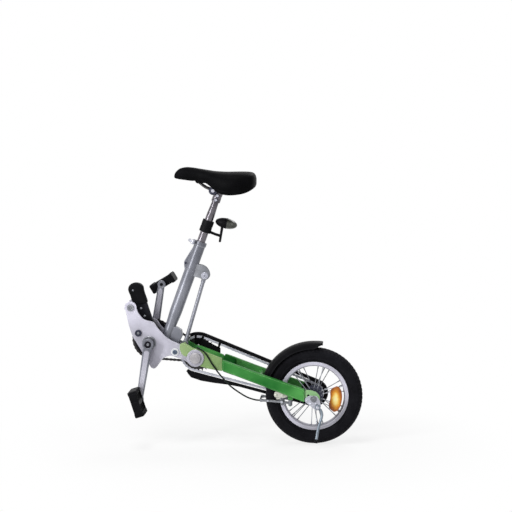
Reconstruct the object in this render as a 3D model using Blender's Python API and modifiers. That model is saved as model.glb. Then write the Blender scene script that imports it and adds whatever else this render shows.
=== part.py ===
"""Rear half of a small folding bicycle: side plates, swinging rear arm, seat mast, drive and rear wheel."""

import math

import bmesh
import bpy
from mathutils import Matrix, Vector

MM = 0.001

# Driving dimensions in millimetres. X runs to the rear, Y to the chain side, Z up, from the upper front pivot.
GAP = 0.3
FIT = 0.6
ROUND_STEPS = 16
WHEEL_STEPS = 40

# Joint points in the side view, as (x, z)
UPPER_PIVOT = (0.0, 0.0)
LOWER_PIVOT = (25.5, -82.9)
BOTTOM_BRACKET = (60.5, -115.0)
REAR_BOLT = (144.5, -143.9)
STOP_BAR = (146.0, -122.5)
ARM_PIVOT = (211.8, -161.6)
SEAT_PIVOT = (108.3, -112.9)
STRUT_TOP = (239.0, 102.6)
STRUT_PIN = (173.6, -121.1)
LOCK_PIVOT = (80.0, -80.0)
AXLE = (594.8, -287.9)

# Side plates and the pieces between them
PLATE_IN = 34.0
PLATE_THICK = 7.0
PLATE_OUT = PLATE_IN + PLATE_THICK
PIVOT_BOSS_R = 28.0
FRONT_BOLT_R = 6.0
FRONT_HEAD_R = 11.0
FRONT_HEAD = 6.0
SHELL_R = 20.0
CUP_R = 16.0
CUP_FLANGE_R = 23.0
CUP_FLANGE = 3.7
SPINDLE_R = 10.0
SEAT_BOLT_R = 8.0
REAR_BOLT_R = 6.0
WASHER_R = 13.0
WASHER = 2.0
STOP_R = 5.0
PIVOT_TUBE_R = 14.0
PIVOT_SHANK_R = 11.0
JACKSHAFT_R = 8.0
LOCK_PIN_R = 5.0

# Swinging arm
CHEEK = 7.5
CHEEK_NEAR_Y = PLATE_OUT + 1.5
CHEEK_FAR_Y = 20.0
CHEEK_FAR = 13.0
CHEEK_R = 26.0
PIN_R = 6.0
PIN_END_Y = 8.5
ARM_IN = 54.0
ARM_THICK = 18.0
ARM_OUT = ARM_IN + ARM_THICK
ARM_FRONT_X = 300.0
ARM_REAR_X = 566.0
CROSSBAR_X = 338.0
DROPOUT_IN = 60.0
DROPOUT_THICK = 6.0
DROPOUT_OUT = DROPOUT_IN + DROPOUT_THICK
BRIDGE_R = 7.0

# Drive
PITCH = 12.7
RING_TEETH = 32
JACK_SMALL_TEETH = 14
JACK_LARGE_TEETH = 28
REAR_TEETH = 14
SECOND_Y = 47.0
FIRST_Y = 56.0
CHAIN_WIDE = 8.0
CHAIN_SIDE = 1.3
CHAIN_TALL = 8.0
ROLLER_R = 3.2
TOOTH_THICK = 2.4
CRANK_IN = 62.0
CRANK_THICK = 14.0
CRANK_OUT = CRANK_IN + CRANK_THICK
CRANK_LENGTH = 182.0
CRANK_TILT = math.radians(9.0)
PEDAL_LONG = 78.0
PEDAL_TALL = 30.0
PEDAL_WIDE = 85.0
PEDAL_AXLE_R = 6.0
GUARD_IN = 41.6
GUARD_WIDE = 9.2
GUARD_WALL = 3.2
GUARD_LIP = 13.0

# Rear wheel
TYRE_R = 158.5
TYRE_WIDE = 50.0
RIM_R = 112.0
RIM_DEEP = 15.0
RIM_IN_R = RIM_R - RIM_DEEP
RIM_WIDE = 32.0
REFLECTOR_OUT = 11.5
REFLECTOR_TALL = 32.5
HUB_R = 14.0
FLANGE_R = 29.0
FLANGE_Y = 28.0
HUB_END_Y = 52.0
AXLE_R = 5.0
SPOKES = 28
SPOKE_R = 1.1
MUDGUARD_CLEAR = 19.5
MUDGUARD_R = TYRE_R + MUDGUARD_CLEAR
MUDGUARD_SKIRT = 21.0
MUDGUARD_WIDE = 60.0

# Seat mast
MAST_TILT = math.radians(20.0)
MAST_R = 16.8
MAST_TOP = 254.0
SLEEVE_R = 18.6
SLEEVE_TOP = 337.0
CLAMP_R = 20.5
CLAMP_TALL = 9.0
CLAMP_TOP = SLEEVE_TOP + CLAMP_TALL
POST_R = 13.5
POST_NECK_R = 11.2
POST_FOOT = 175.0
POST_TOP = 512.0
BARREL_R = 17.0
BARREL_Y = 30.0
STRUT_R = 7.2
STRUT_EYE_Y = 7.0
SADDLE_PIVOT = (268.0, 379.0)
RAIL_R = 3.5
RAIL_Y = 22.0


def tone(red, green, blue):
    """A screen colour as linear light."""
    return tuple((v / 255 / 12.92) if v < 11 else ((v / 255 + 0.055) / 1.055) ** 2.4 for v in (red, green, blue))


# Finishes, as colour, roughness and metallic value
SILVER = (tone(200, 201, 208), 0.35, 0.6)
GREEN = (tone(86, 158, 74), 0.3, 0.35)
STEEL = (tone(170, 172, 178), 0.3, 0.9)
CHROME = (tone(205, 207, 212), 0.12, 1.0)
GREY = (tone(120, 124, 132), 0.4, 0.7)
WHITE = (tone(232, 232, 228), 0.4, 0.0)
BLACK = (tone(18, 18, 20), 0.5, 0.0)
RUBBER = (tone(34, 34, 37), 0.85, 0.0)
LEATHERETTE = (tone(15, 15, 16), 0.55, 0.0)
DARK = (tone(52, 54, 50), 0.25, 0.0)
AMBER = (tone(225, 150, 30), 0.15, 0.0)

for old in list(bpy.data.objects):
    bpy.data.objects.remove(old, do_unlink=True)

parts = bpy.data.collections.new("folding_bicycle_rear_half")
cutters = bpy.data.collections.new("cutters")
bpy.context.scene.collection.children.link(parts)
bpy.context.scene.collection.children.link(cutters)


def body(name, at, y=0.0, parent=None):
    """An empty on a joint's axis, which carries the pieces that move together."""
    empty = bpy.data.objects.new(name, None)
    empty.location = Vector((at[0], y, at[1])) * MM
    empty.empty_display_size = 0.02
    parts.objects.link(empty)
    if parent:
        empty.parent = parent
        empty.matrix_parent_inverse = Matrix.Translation(-parent.location)
    return empty


def finish(obj, name, carrier, look, smooth=False):
    """Names the piece, gives it its own material and hangs it on its body."""
    obj.name = name
    obj.data.name = name
    material = bpy.data.materials.new(name)
    material.use_nodes = True
    shader = material.node_tree.nodes["Principled BSDF"]
    shader.inputs["Base Color"].default_value = (*look[0], 1.0)
    shader.inputs["Roughness"].default_value = look[1]
    shader.inputs["Metallic"].default_value = look[2]
    material.diffuse_color = (*look[0], 1.0)
    obj.data.materials.clear()
    obj.data.materials.append(material)
    if obj.type == "MESH" and smooth:
        for polygon in obj.data.polygons:
            polygon.use_smooth = True
    obj.parent = carrier
    obj.matrix_parent_inverse = Matrix.Translation(-carrier.location)
    return obj


def mesh_object(bm):
    mesh = bpy.data.meshes.new("solid")
    bm.to_mesh(mesh)
    bm.free()
    obj = bpy.data.objects.new("solid", mesh)
    parts.objects.link(obj)
    return obj


def box(x0, x1, y0, y1, z0, z1, bevel=0.0):
    y0, y1 = min(y0, y1), max(y0, y1)
    bm = bmesh.new()
    bmesh.ops.create_cube(bm, size=MM)
    bmesh.ops.scale(bm, vec=(x1 - x0, y1 - y0, z1 - z0), verts=bm.verts)
    obj = mesh_object(bm)
    obj.location = Vector((x0 + x1, y0 + y1, z0 + z1)) * MM / 2
    if bevel:
        soften(obj, bevel)
    return obj


def soften(obj, width, segments=1):
    modifier = obj.modifiers.new("soften", "BEVEL")
    modifier.width = width * MM
    modifier.segments = segments
    modifier.limit_method = "ANGLE"
    modifier.angle_limit = math.radians(40)
    return obj


def aim(obj, start, direction):
    obj.location = Vector(start) * MM
    obj.rotation_mode = "QUATERNION"
    obj.rotation_quaternion = Vector(direction).to_track_quat("Z", "Y")
    return obj


def cylinder(radius, start, end, sides=ROUND_STEPS, end_radius=None):
    start = Vector(start)
    run = Vector(end) - start
    bm = bmesh.new()
    bmesh.ops.create_cone(
        bm,
        cap_ends=True,
        segments=sides,
        radius1=radius * MM,
        radius2=(radius if end_radius is None else end_radius) * MM,
        depth=run.length * MM,
    )
    return aim(mesh_object(bm), start + run / 2, run)


def across(radius, at, y0, y1, sides=ROUND_STEPS):
    """A cylinder that lies along Y at a point of the side view."""
    return cylinder(radius, (at[0], y0, at[1]), (at[0], y1, at[1]), sides)


def turned(profile, start, direction, steps=ROUND_STEPS, ring=False, angle=360.0):
    """A profile of (radius, height), down its outer side from top to bottom, turned about a line from start."""
    bm = bmesh.new()
    points = [bm.verts.new((r * MM, 0.0, h * MM)) for r, h in profile]
    for first, second in zip(points, points[1:]):
        bm.edges.new((first, second))
    if ring:
        bm.edges.new((points[-1], points[0]))
    obj = aim(mesh_object(bm), start, direction)
    screw = obj.modifiers.new("turn", "SCREW")
    screw.angle = math.radians(angle)
    screw.steps = steps
    screw.render_steps = steps
    screw.use_merge_vertices = True
    screw.merge_threshold = 0.00001
    screw.use_smooth_shade = True
    return obj


def turned_across(profile, at, steps=ROUND_STEPS, ring=False):
    """A turned piece along Y, whose heights are Y positions."""
    return turned(profile, (at[0], 0.0, at[1]), (0.0, 1.0, 0.0), steps, ring)


def plate(outlines, y0, y1):
    """Outlines in the side view, the first one outside and the rest holes, as a plate from y0 to y1."""
    curve = bpy.data.curves.new("plate", "CURVE")
    curve.dimensions = "2D"
    curve.fill_mode = "BOTH"
    curve.extrude = abs(y1 - y0) / 2 * MM
    for outline in outlines:
        spline = curve.splines.new("POLY")
        spline.points.add(len(outline) - 1)
        for point, (x, z) in zip(spline.points, outline):
            point.co = (x * MM, z * MM, 0.0, 1.0)
        spline.use_cyclic_u = True
    obj = bpy.data.objects.new("plate", curve)
    obj.rotation_euler = (math.pi / 2, 0.0, 0.0)
    obj.location = (0.0, (y0 + y1) / 2 * MM, 0.0)
    parts.objects.link(obj)
    return solid_of(obj)


def rod(points, radius, resolution=2):
    """A wire or tube of round section along points."""
    curve = bpy.data.curves.new("rod", "CURVE")
    curve.dimensions = "3D"
    curve.bevel_depth = radius * MM
    curve.bevel_resolution = resolution
    curve.use_fill_caps = True
    spline = curve.splines.new("POLY")
    spline.points.add(len(points) - 1)
    for point, at in zip(spline.points, points):
        point.co = (at[0] * MM, at[1] * MM, at[2] * MM, 1.0)
    obj = bpy.data.objects.new("rod", curve)
    parts.objects.link(obj)
    return solid_of(obj)


def solid_of(obj):
    """The curve object as a closed mesh."""
    bpy.context.view_layer.update()
    graph = bpy.context.evaluated_depsgraph_get()
    mesh = bpy.data.meshes.new_from_object(obj.evaluated_get(graph))
    bm = bmesh.new()
    bm.from_mesh(mesh)
    bmesh.ops.remove_doubles(bm, verts=bm.verts, dist=0.000002)
    bmesh.ops.recalc_face_normals(bm, faces=bm.faces)
    bm.to_mesh(mesh)
    bm.free()
    solid = bpy.data.objects.new("solid", mesh)
    solid.matrix_world = obj.matrix_world.copy()
    parts.objects.link(solid)
    bpy.data.objects.remove(obj, do_unlink=True)
    return solid


def boolean(obj, other, operation):
    parts.objects.unlink(other)
    cutters.objects.link(other)
    other.hide_render = True
    other.display_type = "WIRE"
    modifier = obj.modifiers.new(operation.lower(), "BOOLEAN")
    modifier.operation = operation
    modifier.solver = "EXACT"
    modifier.object = other
    return obj


def join(obj, *others):
    for other in others:
        boolean(obj, other, "UNION")
    return obj


def cut(obj, *others):
    for other in others:
        boolean(obj, other, "DIFFERENCE")
    return obj


def arc(centre, radius, start, end, steps):
    """Points of an arc, with angles in degrees from +X towards +Z."""
    points = []
    for i in range(steps + 1):
        angle = math.radians(start + (end - start) * i / steps)
        points.append((centre[0] + radius * math.cos(angle), centre[1] + radius * math.sin(angle)))
    return points


def circle(centre, radius, steps=ROUND_STEPS):
    return arc(centre, radius, 0.0, 360.0 - 360.0 / steps, steps - 1)


def toward(start, end, length):
    run = Vector(end) - Vector(start)
    return tuple(Vector(start) + run.normalized() * length)


def mast(along, off=0.0):
    """Side-view point on the mast's axis, by its distance from the seat pivot, off to the rear."""
    s, c = math.sin(MAST_TILT), math.cos(MAST_TILT)
    return (SEAT_PIVOT[0] + along * s + off * c, SEAT_PIVOT[1] + along * c - off * s)


MAST_AXIS = (math.sin(MAST_TILT), 0.0, math.cos(MAST_TILT))
PEDAL_NEAR = (
    BOTTOM_BRACKET[0] - CRANK_LENGTH * math.sin(CRANK_TILT),
    BOTTOM_BRACKET[1] - CRANK_LENGTH * math.cos(CRANK_TILT),
)
PEDAL_FAR = (2 * BOTTOM_BRACKET[0] - PEDAL_NEAR[0], 2 * BOTTOM_BRACKET[1] - PEDAL_NEAR[1])
SKEWER = (CLAMP_TOP - 7.0, -23.0)
LEVER_PIVOT = mast(*SKEWER)
LEVER_Y = -24.0
KICKSTAND_PIVOT = (608.0, -313.9)
PAD_X = AXLE[0] - RIM_R + 8.7
BRAKE_PIVOT = (PAD_X + 27.2, -309.9)
BRAKE_Y = 34.0

# Bodies, one for each thing that moves
frame = body("frame_body", UPPER_PIVOT)
swingarm = body("swingarm_body", ARM_PIVOT, parent=frame)
seat_tube = body("seat_tube_body", SEAT_PIVOT, parent=frame)
strut = body("strut_body", STRUT_TOP, parent=seat_tube)
seat_post = body("seat_post_body", mast(POST_FOOT), parent=seat_tube)
clamp_lever = body("clamp_lever_body", LEVER_PIVOT, LEVER_Y, seat_tube)
saddle = body("saddle_body", SADDLE_PIVOT, parent=seat_post)
crankset = body("crankset_body", BOTTOM_BRACKET, parent=frame)
pedal_near = body("pedal_near_body", PEDAL_NEAR, -CRANK_OUT, crankset)
pedal_far = body("pedal_far_body", PEDAL_FAR, CRANK_OUT, crankset)
jackshaft = body("jackshaft_body", ARM_PIVOT, parent=frame)
freewheel = body("freewheel_body", AXLE, SECOND_Y, swingarm)
wheel = body("wheel_body", AXLE, parent=swingarm)
kickstand = body("kickstand_body", KICKSTAND_PIVOT, -DROPOUT_OUT, swingarm)
brake_near = body("brake_near_body", BRAKE_PIVOT, -BRAKE_Y, swingarm)
brake_far = body("brake_far_body", BRAKE_PIVOT, BRAKE_Y, swingarm)
lock_lever = body("lock_lever_body", LOCK_PIVOT, parent=frame)

# Main side plates
plate_outline = (
    arc(UPPER_PIVOT, 20.0, 222.0, -5.0, 9)
    + [(23.0, -12.0), (30.9, -24.4), (41.6, -36.7), (55.2, -41.9), (69.8, -44.8), (77.9, -50.0)]
    + [(89.3, -67.1), (102.3, -80.7), (113.6, -93.0), (134.1, -106.3), (156.0, -116.0), (162.0, -121.0)]
    + [(163.5, -133.0), (174.0, -141.0)]
    + arc(ARM_PIVOT, PIVOT_BOSS_R, 145.0, -122.0, 12)
    + [(170.0, -168.0), (148.7, -161.4), (134.1, -156.8), (122.7, -156.8), (106.8, -164.3)]
    + [(98.0, -174.3), (84.4, -193.4), (77.0, -198.5), (69.0, -197.0), (62.0, -189.0), (35.7, -142.3)]
    + [(19.5, -115.0), (9.8, -100.2), (3.9, -87.2), (-3.6, -65.8), (-9.7, -40.6)]
)


def main_plate(side, pivot_r):
    """A side plate, drilled for all that passes through it."""
    drilled = ((UPPER_PIVOT, FRONT_BOLT_R), (LOWER_PIVOT, FRONT_BOLT_R), (BOTTOM_BRACKET, CUP_R))
    drilled += ((REAR_BOLT, REAR_BOLT_R), (SEAT_PIVOT, SEAT_BOLT_R), (LOCK_PIVOT, LOCK_PIN_R), (ARM_PIVOT, pivot_r))
    holes = [circle(at, radius + FIT, ROUND_STEPS if radius > SEAT_BOLT_R else 12) for at, radius in drilled]
    return plate([plate_outline, *holes], side * PLATE_OUT, side * PLATE_IN)


finish(main_plate(-1, PIVOT_SHANK_R), "main_plate_near", frame, SILVER)
finish(main_plate(1, JACKSHAFT_R), "main_plate_far", frame, SILVER)


def front_bolt(at, name):
    head = PLATE_OUT + GAP
    profile = [(0.0, -head - FRONT_HEAD), (FRONT_HEAD_R - 1.0, -head - FRONT_HEAD)]
    profile += [(FRONT_HEAD_R, 1.0 - head - FRONT_HEAD), (FRONT_HEAD_R, -head), (FRONT_BOLT_R, -head)]
    bolt = turned_across([(r, -h) for r, h in profile] + list(reversed(profile)), at, 12)
    finish(bolt, "front_pivot_bolt_" + name, frame, GREY)


front_bolt(UPPER_PIVOT, "upper")
front_bolt(LOWER_PIVOT, "lower")

# Bottom bracket: shell between the plates, and a cup from each side
inner = PLATE_IN - GAP
shell_profile = [(SHELL_R, inner), (SHELL_R, -inner), (CUP_R + FIT, -inner), (CUP_R + FIT, inner)]
finish(turned_across(shell_profile, BOTTOM_BRACKET, ring=True), "bottom_bracket_shell", frame, SILVER)


def cup(side):
    face = PLATE_OUT + GAP
    profile = [(CUP_FLANGE_R, face + CUP_FLANGE), (CUP_FLANGE_R, face), (CUP_R, face), (CUP_R, 18.0)]
    profile += [(SPINDLE_R + FIT, 18.0), (SPINDLE_R + FIT, face + CUP_FLANGE)]
    if side < 0:
        profile = [(r, -h) for r, h in reversed(profile)]
    return turned_across(profile, BOTTOM_BRACKET, ring=True)


finish(cup(-1), "bottom_bracket_cup_near", frame, STEEL)
finish(cup(1), "bottom_bracket_cup_far", frame, STEEL)

# Cross pieces between the plates
finish(across(SEAT_BOLT_R, SEAT_PIVOT, -PLATE_OUT, PLATE_OUT, 12), "seat_pivot_pin", frame, STEEL)
finish(across(STOP_R, STOP_BAR, -inner, inner, 16), "seat_stop_bar", frame, STEEL)
face = PLATE_OUT + GAP
rear_profile = [(0.0, PLATE_OUT - 0.5), (REAR_BOLT_R, PLATE_OUT - 0.5), (REAR_BOLT_R, -face), (WASHER_R, -face)]
rear_profile += [(WASHER_R, -face - WASHER), (8.0, -face - WASHER), (8.0, -face - 5.0), (0.0, -face - 5.0)]
finish(turned_across(rear_profile, REAR_BOLT, 12), "rear_plate_bolt", frame, WHITE)
shank_end = -PLATE_IN + 13.0
tube_bore = JACKSHAFT_R + FIT
tube_profile = [(PIVOT_TUBE_R, inner), (PIVOT_TUBE_R, -inner), (PIVOT_SHANK_R + FIT, -inner)]
tube_profile += [(PIVOT_SHANK_R + FIT, shank_end + GAP), (tube_bore, shank_end + GAP), (tube_bore, inner)]
finish(turned_across(tube_profile, ARM_PIVOT, ring=True), "rear_pivot_tube", frame, STEEL)
flange = CHEEK_NEAR_Y + CHEEK + GAP
pivot_profile = [(0.0, shank_end), (PIVOT_SHANK_R, shank_end), (PIVOT_SHANK_R, -flange), (PIVOT_BOSS_R, -flange)]
pivot_profile += [(PIVOT_BOSS_R, -flange - 2.2), (PIVOT_BOSS_R - 1.5, -flange - 3.2), (0.0, -flange - 3.2)]
finish(turned_across(pivot_profile, ARM_PIVOT), "rear_pivot_bolt", frame, SILVER)
cap_in = flange + 3.2 + GAP
cap_profile = [(0.0, -cap_in), (18.0, -cap_in), (18.0, -cap_in - 3.5), (16.0, -cap_in - 5.0), (0.0, -cap_in - 5.0)]
finish(turned_across(cap_profile, ARM_PIVOT), "pivot_cap", frame, GREY)

# Lock lever: a dark grip that rises between the plates, on its pin
grip_outline = (
    [(31.7, -44.4), (8.5, 10.4), (-4.0, 38.0), (-11.0, 55.0), (-7.0, 68.0), (2.0, 75.0), (14.0, 77.4)]
    + [(28.0, 74.0), (36.0, 66.0), (38.0, 55.0), (41.0, 42.0), (47.7, 16.0), (68.2, -44.4)]
    + arc(LOCK_PIVOT, 14.0, 30.0, -155.0, 8)
)
grip = soften(plate([grip_outline], -12.0, 12.0), 3.0, 2)
join(grip, across(LOCK_PIN_R, LOCK_PIVOT, -PLATE_OUT, PLATE_OUT, 12))
finish(grip, "lock_lever", lock_lever, BLACK)

# Swinging arm: cheeks beside the pivot, crossbar, two arms and their dropouts
cheek_outline = (
    arc(ARM_PIVOT, CHEEK_R, 235.0, 290.0, 3)
    + [(252.0, -196.0), (ARM_FRONT_X - GAP, -204.0), (ARM_FRONT_X - GAP, -162.0), (250.0, -143.0), (226.0, -133.5)]
)
lever_outline = [(204.3, -128.8), (184.2, -116.5), (174.0, -112.5), (165.0, -114.0), (160.5, -121.0)]
lever_outline += [(161.0, -136.0), (168.0, -150.0), (176.0, -156.0), (190.0, -158.0)]
cheek_hole = circle(ARM_PIVOT, PIVOT_SHANK_R + FIT)
near_cheek = plate([lever_outline + cheek_outline, cheek_hole], -CHEEK_NEAR_Y - CHEEK, -CHEEK_NEAR_Y)
soften(near_cheek, 1.0)
join(near_cheek, across(PIN_R, STRUT_PIN, -CHEEK_NEAR_Y - 1.0, -PIN_END_Y, 16))
finish(near_cheek, "swingarm_cheek_near", swingarm, GREEN)
far_hole = circle(ARM_PIVOT, PIVOT_TUBE_R + FIT)
far_cheek = plate([lever_outline + cheek_outline, far_hole], CHEEK_FAR_Y, CHEEK_FAR_Y + CHEEK_FAR)
join(far_cheek, across(PIN_R, STRUT_PIN, PIN_END_Y, CHEEK_FAR_Y + 1.0, 16))
finish(far_cheek, "swingarm_cheek_far", swingarm, GREEN)
bar_outline = [(ARM_FRONT_X, -204.0), (CROSSBAR_X, -217.5), (CROSSBAR_X, -176.0), (ARM_FRONT_X, -162.0)]
bar = soften(plate([bar_outline], -ARM_IN + GAP, ARM_IN - GAP), 3.0)
finish(bar, "swingarm_crossbar", swingarm, GREEN)
arm_outline = [(ARM_FRONT_X, -200.0), (314.9, -204.8), (563.7, -298.1), (ARM_REAR_X, -296.0)]
arm_outline += [(ARM_REAR_X, -259.0), (563.7, -256.3), (395.7, -198.4), (316.0, -168.5), (ARM_FRONT_X, -164.0)]
for side, name in ((-1, "near"), (1, "far")):
    arm = soften(plate([arm_outline], side * ARM_OUT, side * ARM_IN), 3.0, 2)
    finish(arm, "swingarm_arm_" + name, swingarm, GREEN)
    dropout = plate(
        [
            [(ARM_REAR_X + GAP, -295.5), (ARM_REAR_X + GAP, -259.5), (585.0, -260.0), (603.0, -265.5)]
            + [(614.0, -277.0), (616.0, -292.0), (609.0, -304.0), (595.0, -309.0), (579.0, -305.0)],
            circle(AXLE, AXLE_R + FIT, 16),
            circle((577.7, -278.0), 4.0, 12),
        ],
        side * DROPOUT_OUT,
        side * DROPOUT_IN,
    )
    finish(dropout, "dropout_" + name, swingarm, GREEN)
BRIDGE_ANGLE = 159.5
bridge_at = arc(AXLE, MUDGUARD_R + BRIDGE_R + GAP, BRIDGE_ANGLE, BRIDGE_ANGLE, 1)[0]
finish(across(BRIDGE_R, bridge_at, -ARM_IN + GAP, ARM_IN - GAP, 16), "mudguard_bridge", swingarm, GREEN)

# Drive: two chain loops, from the cranks to the jackshaft and from there to the wheel


def tangent(c1, r1, c2, r2):
    """Direction from c1 to c2 in degrees, and the angle from it to the outer tangent points."""
    run = Vector(c2) - Vector(c1)
    return math.degrees(math.atan2(run[1], run[0])), math.degrees(math.acos((r1 - r2) / run.length))


def belt_outline(c1, r1, c2, r2, steps1, steps2):
    """The outline round two circles, from the top of the first one round its front."""
    way, spread = tangent(c1, r1, c2, r2)
    first = arc(c1, r1, way + spread, way + 360.0 - spread, steps1)
    return first + arc(c2, r2, way - spread, way + spread, steps2)


def belt_points(c1, r1, c2, r2, count):
    """Points at even spacing along that outline, the first at the middle of its front arc."""
    way, spread = tangent(c1, r1, c2, r2)
    front = r1 * math.radians(180.0 - spread)
    straight = math.sqrt((Vector(c2) - Vector(c1)).length ** 2 - (r1 - r2) ** 2)
    rear = r2 * math.radians(2 * spread)
    length = 2 * front + 2 * straight + rear
    top1, top2 = arc(c1, r1, way + spread, 0.0, 1)[0], arc(c2, r2, way + spread, 0.0, 1)[0]
    low1, low2 = arc(c1, r1, way - spread, 0.0, 1)[0], arc(c2, r2, way - spread, 0.0, 1)[0]
    points = []
    for i in range(count):
        s = length * i / count
        if s < front:
            angle = way + 180.0 - math.degrees(s / r1)
            points.append(arc(c1, r1, angle, 0.0, 1)[0])
        elif s < front + straight:
            points.append(toward(top1, top2, s - front))
        elif s < front + straight + rear:
            angle = way + spread - math.degrees((s - front - straight) / r2)
            points.append(arc(c2, r2, angle, 0.0, 1)[0])
        elif s < length - front:
            points.append(toward(low2, low1, s - front - straight - rear))
        else:
            angle = way + 180.0 + math.degrees((length - s) / r1)
            points.append(arc(c1, r1, angle, 0.0, 1)[0])
    return points, length


def pitch_radius(teeth):
    return PITCH / (2 * math.sin(math.pi / teeth))


def link_count(c1, r1, c2, r2):
    length = belt_points(c1, r1, c2, r2, 1)[1]
    return 2 * round(length / PITCH / 2)


def chain(c1, teeth1, c2, teeth2, y):
    """Two side bands joined by a roller at each link, with the gaps open for the teeth."""
    r1, r2 = pitch_radius(teeth1), pitch_radius(teeth2)
    half = CHAIN_TALL / 2
    outer = belt_outline(c1, r1 + half, c2, r2 + half, 13, 7)
    inside = belt_outline(c1, r1 - half, c2, r2 - half, 13, 7)
    edge = CHAIN_WIDE / 2
    near = plate([outer, inside], y - edge, y - edge + CHAIN_SIDE)
    far = plate([outer, inside], y + edge - CHAIN_SIDE, y + edge)
    points = belt_points(c1, r1, c2, r2, link_count(c1, r1, c2, r2))[0]
    long = 2 * edge - CHAIN_SIDE
    bm = bmesh.new()
    for x, z in points:
        place = Matrix.Translation((x * MM, y * MM, z * MM)) @ Matrix.Rotation(math.pi / 2, 4, "X")
        bmesh.ops.create_cone(
            bm,
            cap_ends=True,
            segments=4,
            radius1=ROLLER_R * MM,
            radius2=ROLLER_R * MM,
            depth=long * MM,
            matrix=place,
        )
    return join(near, mesh_object(bm), far)


def sprocket(centre, teeth, phase):
    """Tooth outline with a valley at the phase angle, in degrees."""
    radius = pitch_radius(teeth)
    low, high = radius - ROLLER_R - 2 * GAP, radius + 3.0
    step = 360.0 / teeth
    valley, tip = math.degrees(3.6 / low), math.degrees(1.1 / high)
    points = []
    for i in range(teeth):
        at = phase + i * step
        points += arc(centre, low, at - valley, at + valley, 1)
        points += arc(centre, high, at + step / 2 - tip, at + step / 2 + tip, 1)
    return points


def tooth_plate(centre, teeth, phase, y, holes=()):
    return plate([sprocket(centre, teeth, phase), *holes], y - TOOTH_THICK / 2, y + TOOTH_THICK / 2)


FIRST_WAY = tangent(BOTTOM_BRACKET, 1.0, ARM_PIVOT, 1.0)[0]
SECOND_WAY = tangent(ARM_PIVOT, 1.0, AXLE, 1.0)[0]

# Crankset
finish(across(SPINDLE_R, BOTTOM_BRACKET, GAP - CRANK_IN, CRANK_IN - GAP), "crank_spindle", crankset, STEEL)
window_r = (pitch_radius(RING_TEETH) - 9.0 + SHELL_R) / 2
windows = [circle(arc(BOTTOM_BRACKET, window_r, 72.0 * i + 20.0, 0.0, 1)[0], 12.0, 10) for i in range(5)]
ring = tooth_plate(BOTTOM_BRACKET, RING_TEETH, FIRST_WAY + 180.0, FIRST_Y, windows)
join(ring, across(SHELL_R - 1.0, BOTTOM_BRACKET, FIRST_Y - 0.5, CRANK_IN - GAP))
cut(ring, across(SPINDLE_R + FIT, BOTTOM_BRACKET, FIRST_Y - 20.0, FIRST_Y + 20.0))
finish(ring, "chainring", crankset, STEEL)


def crank(tip, side):
    arm = plate([belt_outline(BOTTOM_BRACKET, 14.5, tip, 10.5, 10, 8)], side * CRANK_IN, side * CRANK_OUT)
    soften(arm, 2.5)
    join(arm, across(18.0, BOTTOM_BRACKET, side * (CRANK_IN + 0.6), side * (CRANK_OUT + 1.5)))
    return join(arm, across(13.0, tip, side * (CRANK_IN + 0.8), side * (CRANK_OUT - 0.8)))


def pedal(centre, side, tilt):
    """A block with grip grooves, bored for its axle from the crank's side."""
    start = side * (CRANK_OUT + 4.0)
    long, tall = PEDAL_LONG / 2, PEDAL_TALL / 2
    block = box(-long, long, -PEDAL_WIDE / 2, PEDAL_WIDE / 2, -tall, tall, 4.0)
    for x in (-0.5, 0.5):
        for z in (-tall, tall):
            cut(block, box(x * long - 7.0, x * long + 7.0, -PEDAL_WIDE / 2 + 8.0, PEDAL_WIDE / 2 - 8.0, z - 4.0, z + 4.0))
    for cutter in [block] + [m.object for m in block.modifiers if m.type == "BOOLEAN"]:
        turn = Matrix.Translation(Vector((centre[0], start + side * PEDAL_WIDE / 2, centre[1])) * MM)
        cutter.matrix_world = turn @ Matrix.Rotation(-tilt, 4, "Y") @ Matrix.Translation(cutter.location)
    bore_end = start + side * (PEDAL_WIDE - 6.0)
    return cut(block, across(PEDAL_AXLE_R + FIT, centre, start - side * 5.0, bore_end))


for tip, side, carrier, name, tilt in (
    (PEDAL_NEAR, -1, pedal_near, "near", math.radians(-72.0)),
    (PEDAL_FAR, 1, pedal_far, "far", math.radians(31.0)),
):
    axle_end = side * (CRANK_OUT + PEDAL_WIDE - 4.0)
    arm = join(crank(tip, side), across(PEDAL_AXLE_R, tip, side * (CRANK_OUT - 3.0), axle_end, 16))
    finish(arm, "crank_" + name, crankset, SILVER)
    finish(pedal(tip, side, tilt), "pedal_" + name, carrier, BLACK)

# Jackshaft with its two sprockets
finish(across(JACKSHAFT_R, ARM_PIVOT, shank_end + 2 * GAP, FIRST_Y + 4.0), "jackshaft", jackshaft, STEEL)
holes = [circle(arc(ARM_PIVOT, 33.0, 72.0 * i, 0.0, 1)[0], 11.0, 8) for i in range(5)]
large = tooth_plate(ARM_PIVOT, JACK_LARGE_TEETH, SECOND_WAY + 180.0, SECOND_Y, holes)
cut(large, across(JACKSHAFT_R + FIT, ARM_PIVOT, SECOND_Y - 20.0, SECOND_Y + 20.0))
finish(large, "jackshaft_sprocket_large", jackshaft, STEEL)
small = tooth_plate(ARM_PIVOT, JACK_SMALL_TEETH, FIRST_WAY, FIRST_Y)
join(small, across(13.0, ARM_PIVOT, SECOND_Y + TOOTH_THICK / 2 + GAP, FIRST_Y))
cut(small, across(JACKSHAFT_R + FIT, ARM_PIVOT, FIRST_Y - 20.0, FIRST_Y + 20.0))
finish(small, "jackshaft_sprocket_small", jackshaft, STEEL)

# Rear sprocket on its freewheel body
rear_teeth = tooth_plate(AXLE, REAR_TEETH, SECOND_WAY, SECOND_Y)
FREEWHEEL_BORE = HUB_R - 1.5 + FIT
join(rear_teeth, across(20.0, AXLE, FLANGE_Y + 6.0, SECOND_Y + 3.5))
cut(rear_teeth, across(FREEWHEEL_BORE, AXLE, 0.0, 2 * SECOND_Y))
finish(rear_teeth, "rear_sprocket", freewheel, STEEL)

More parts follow.
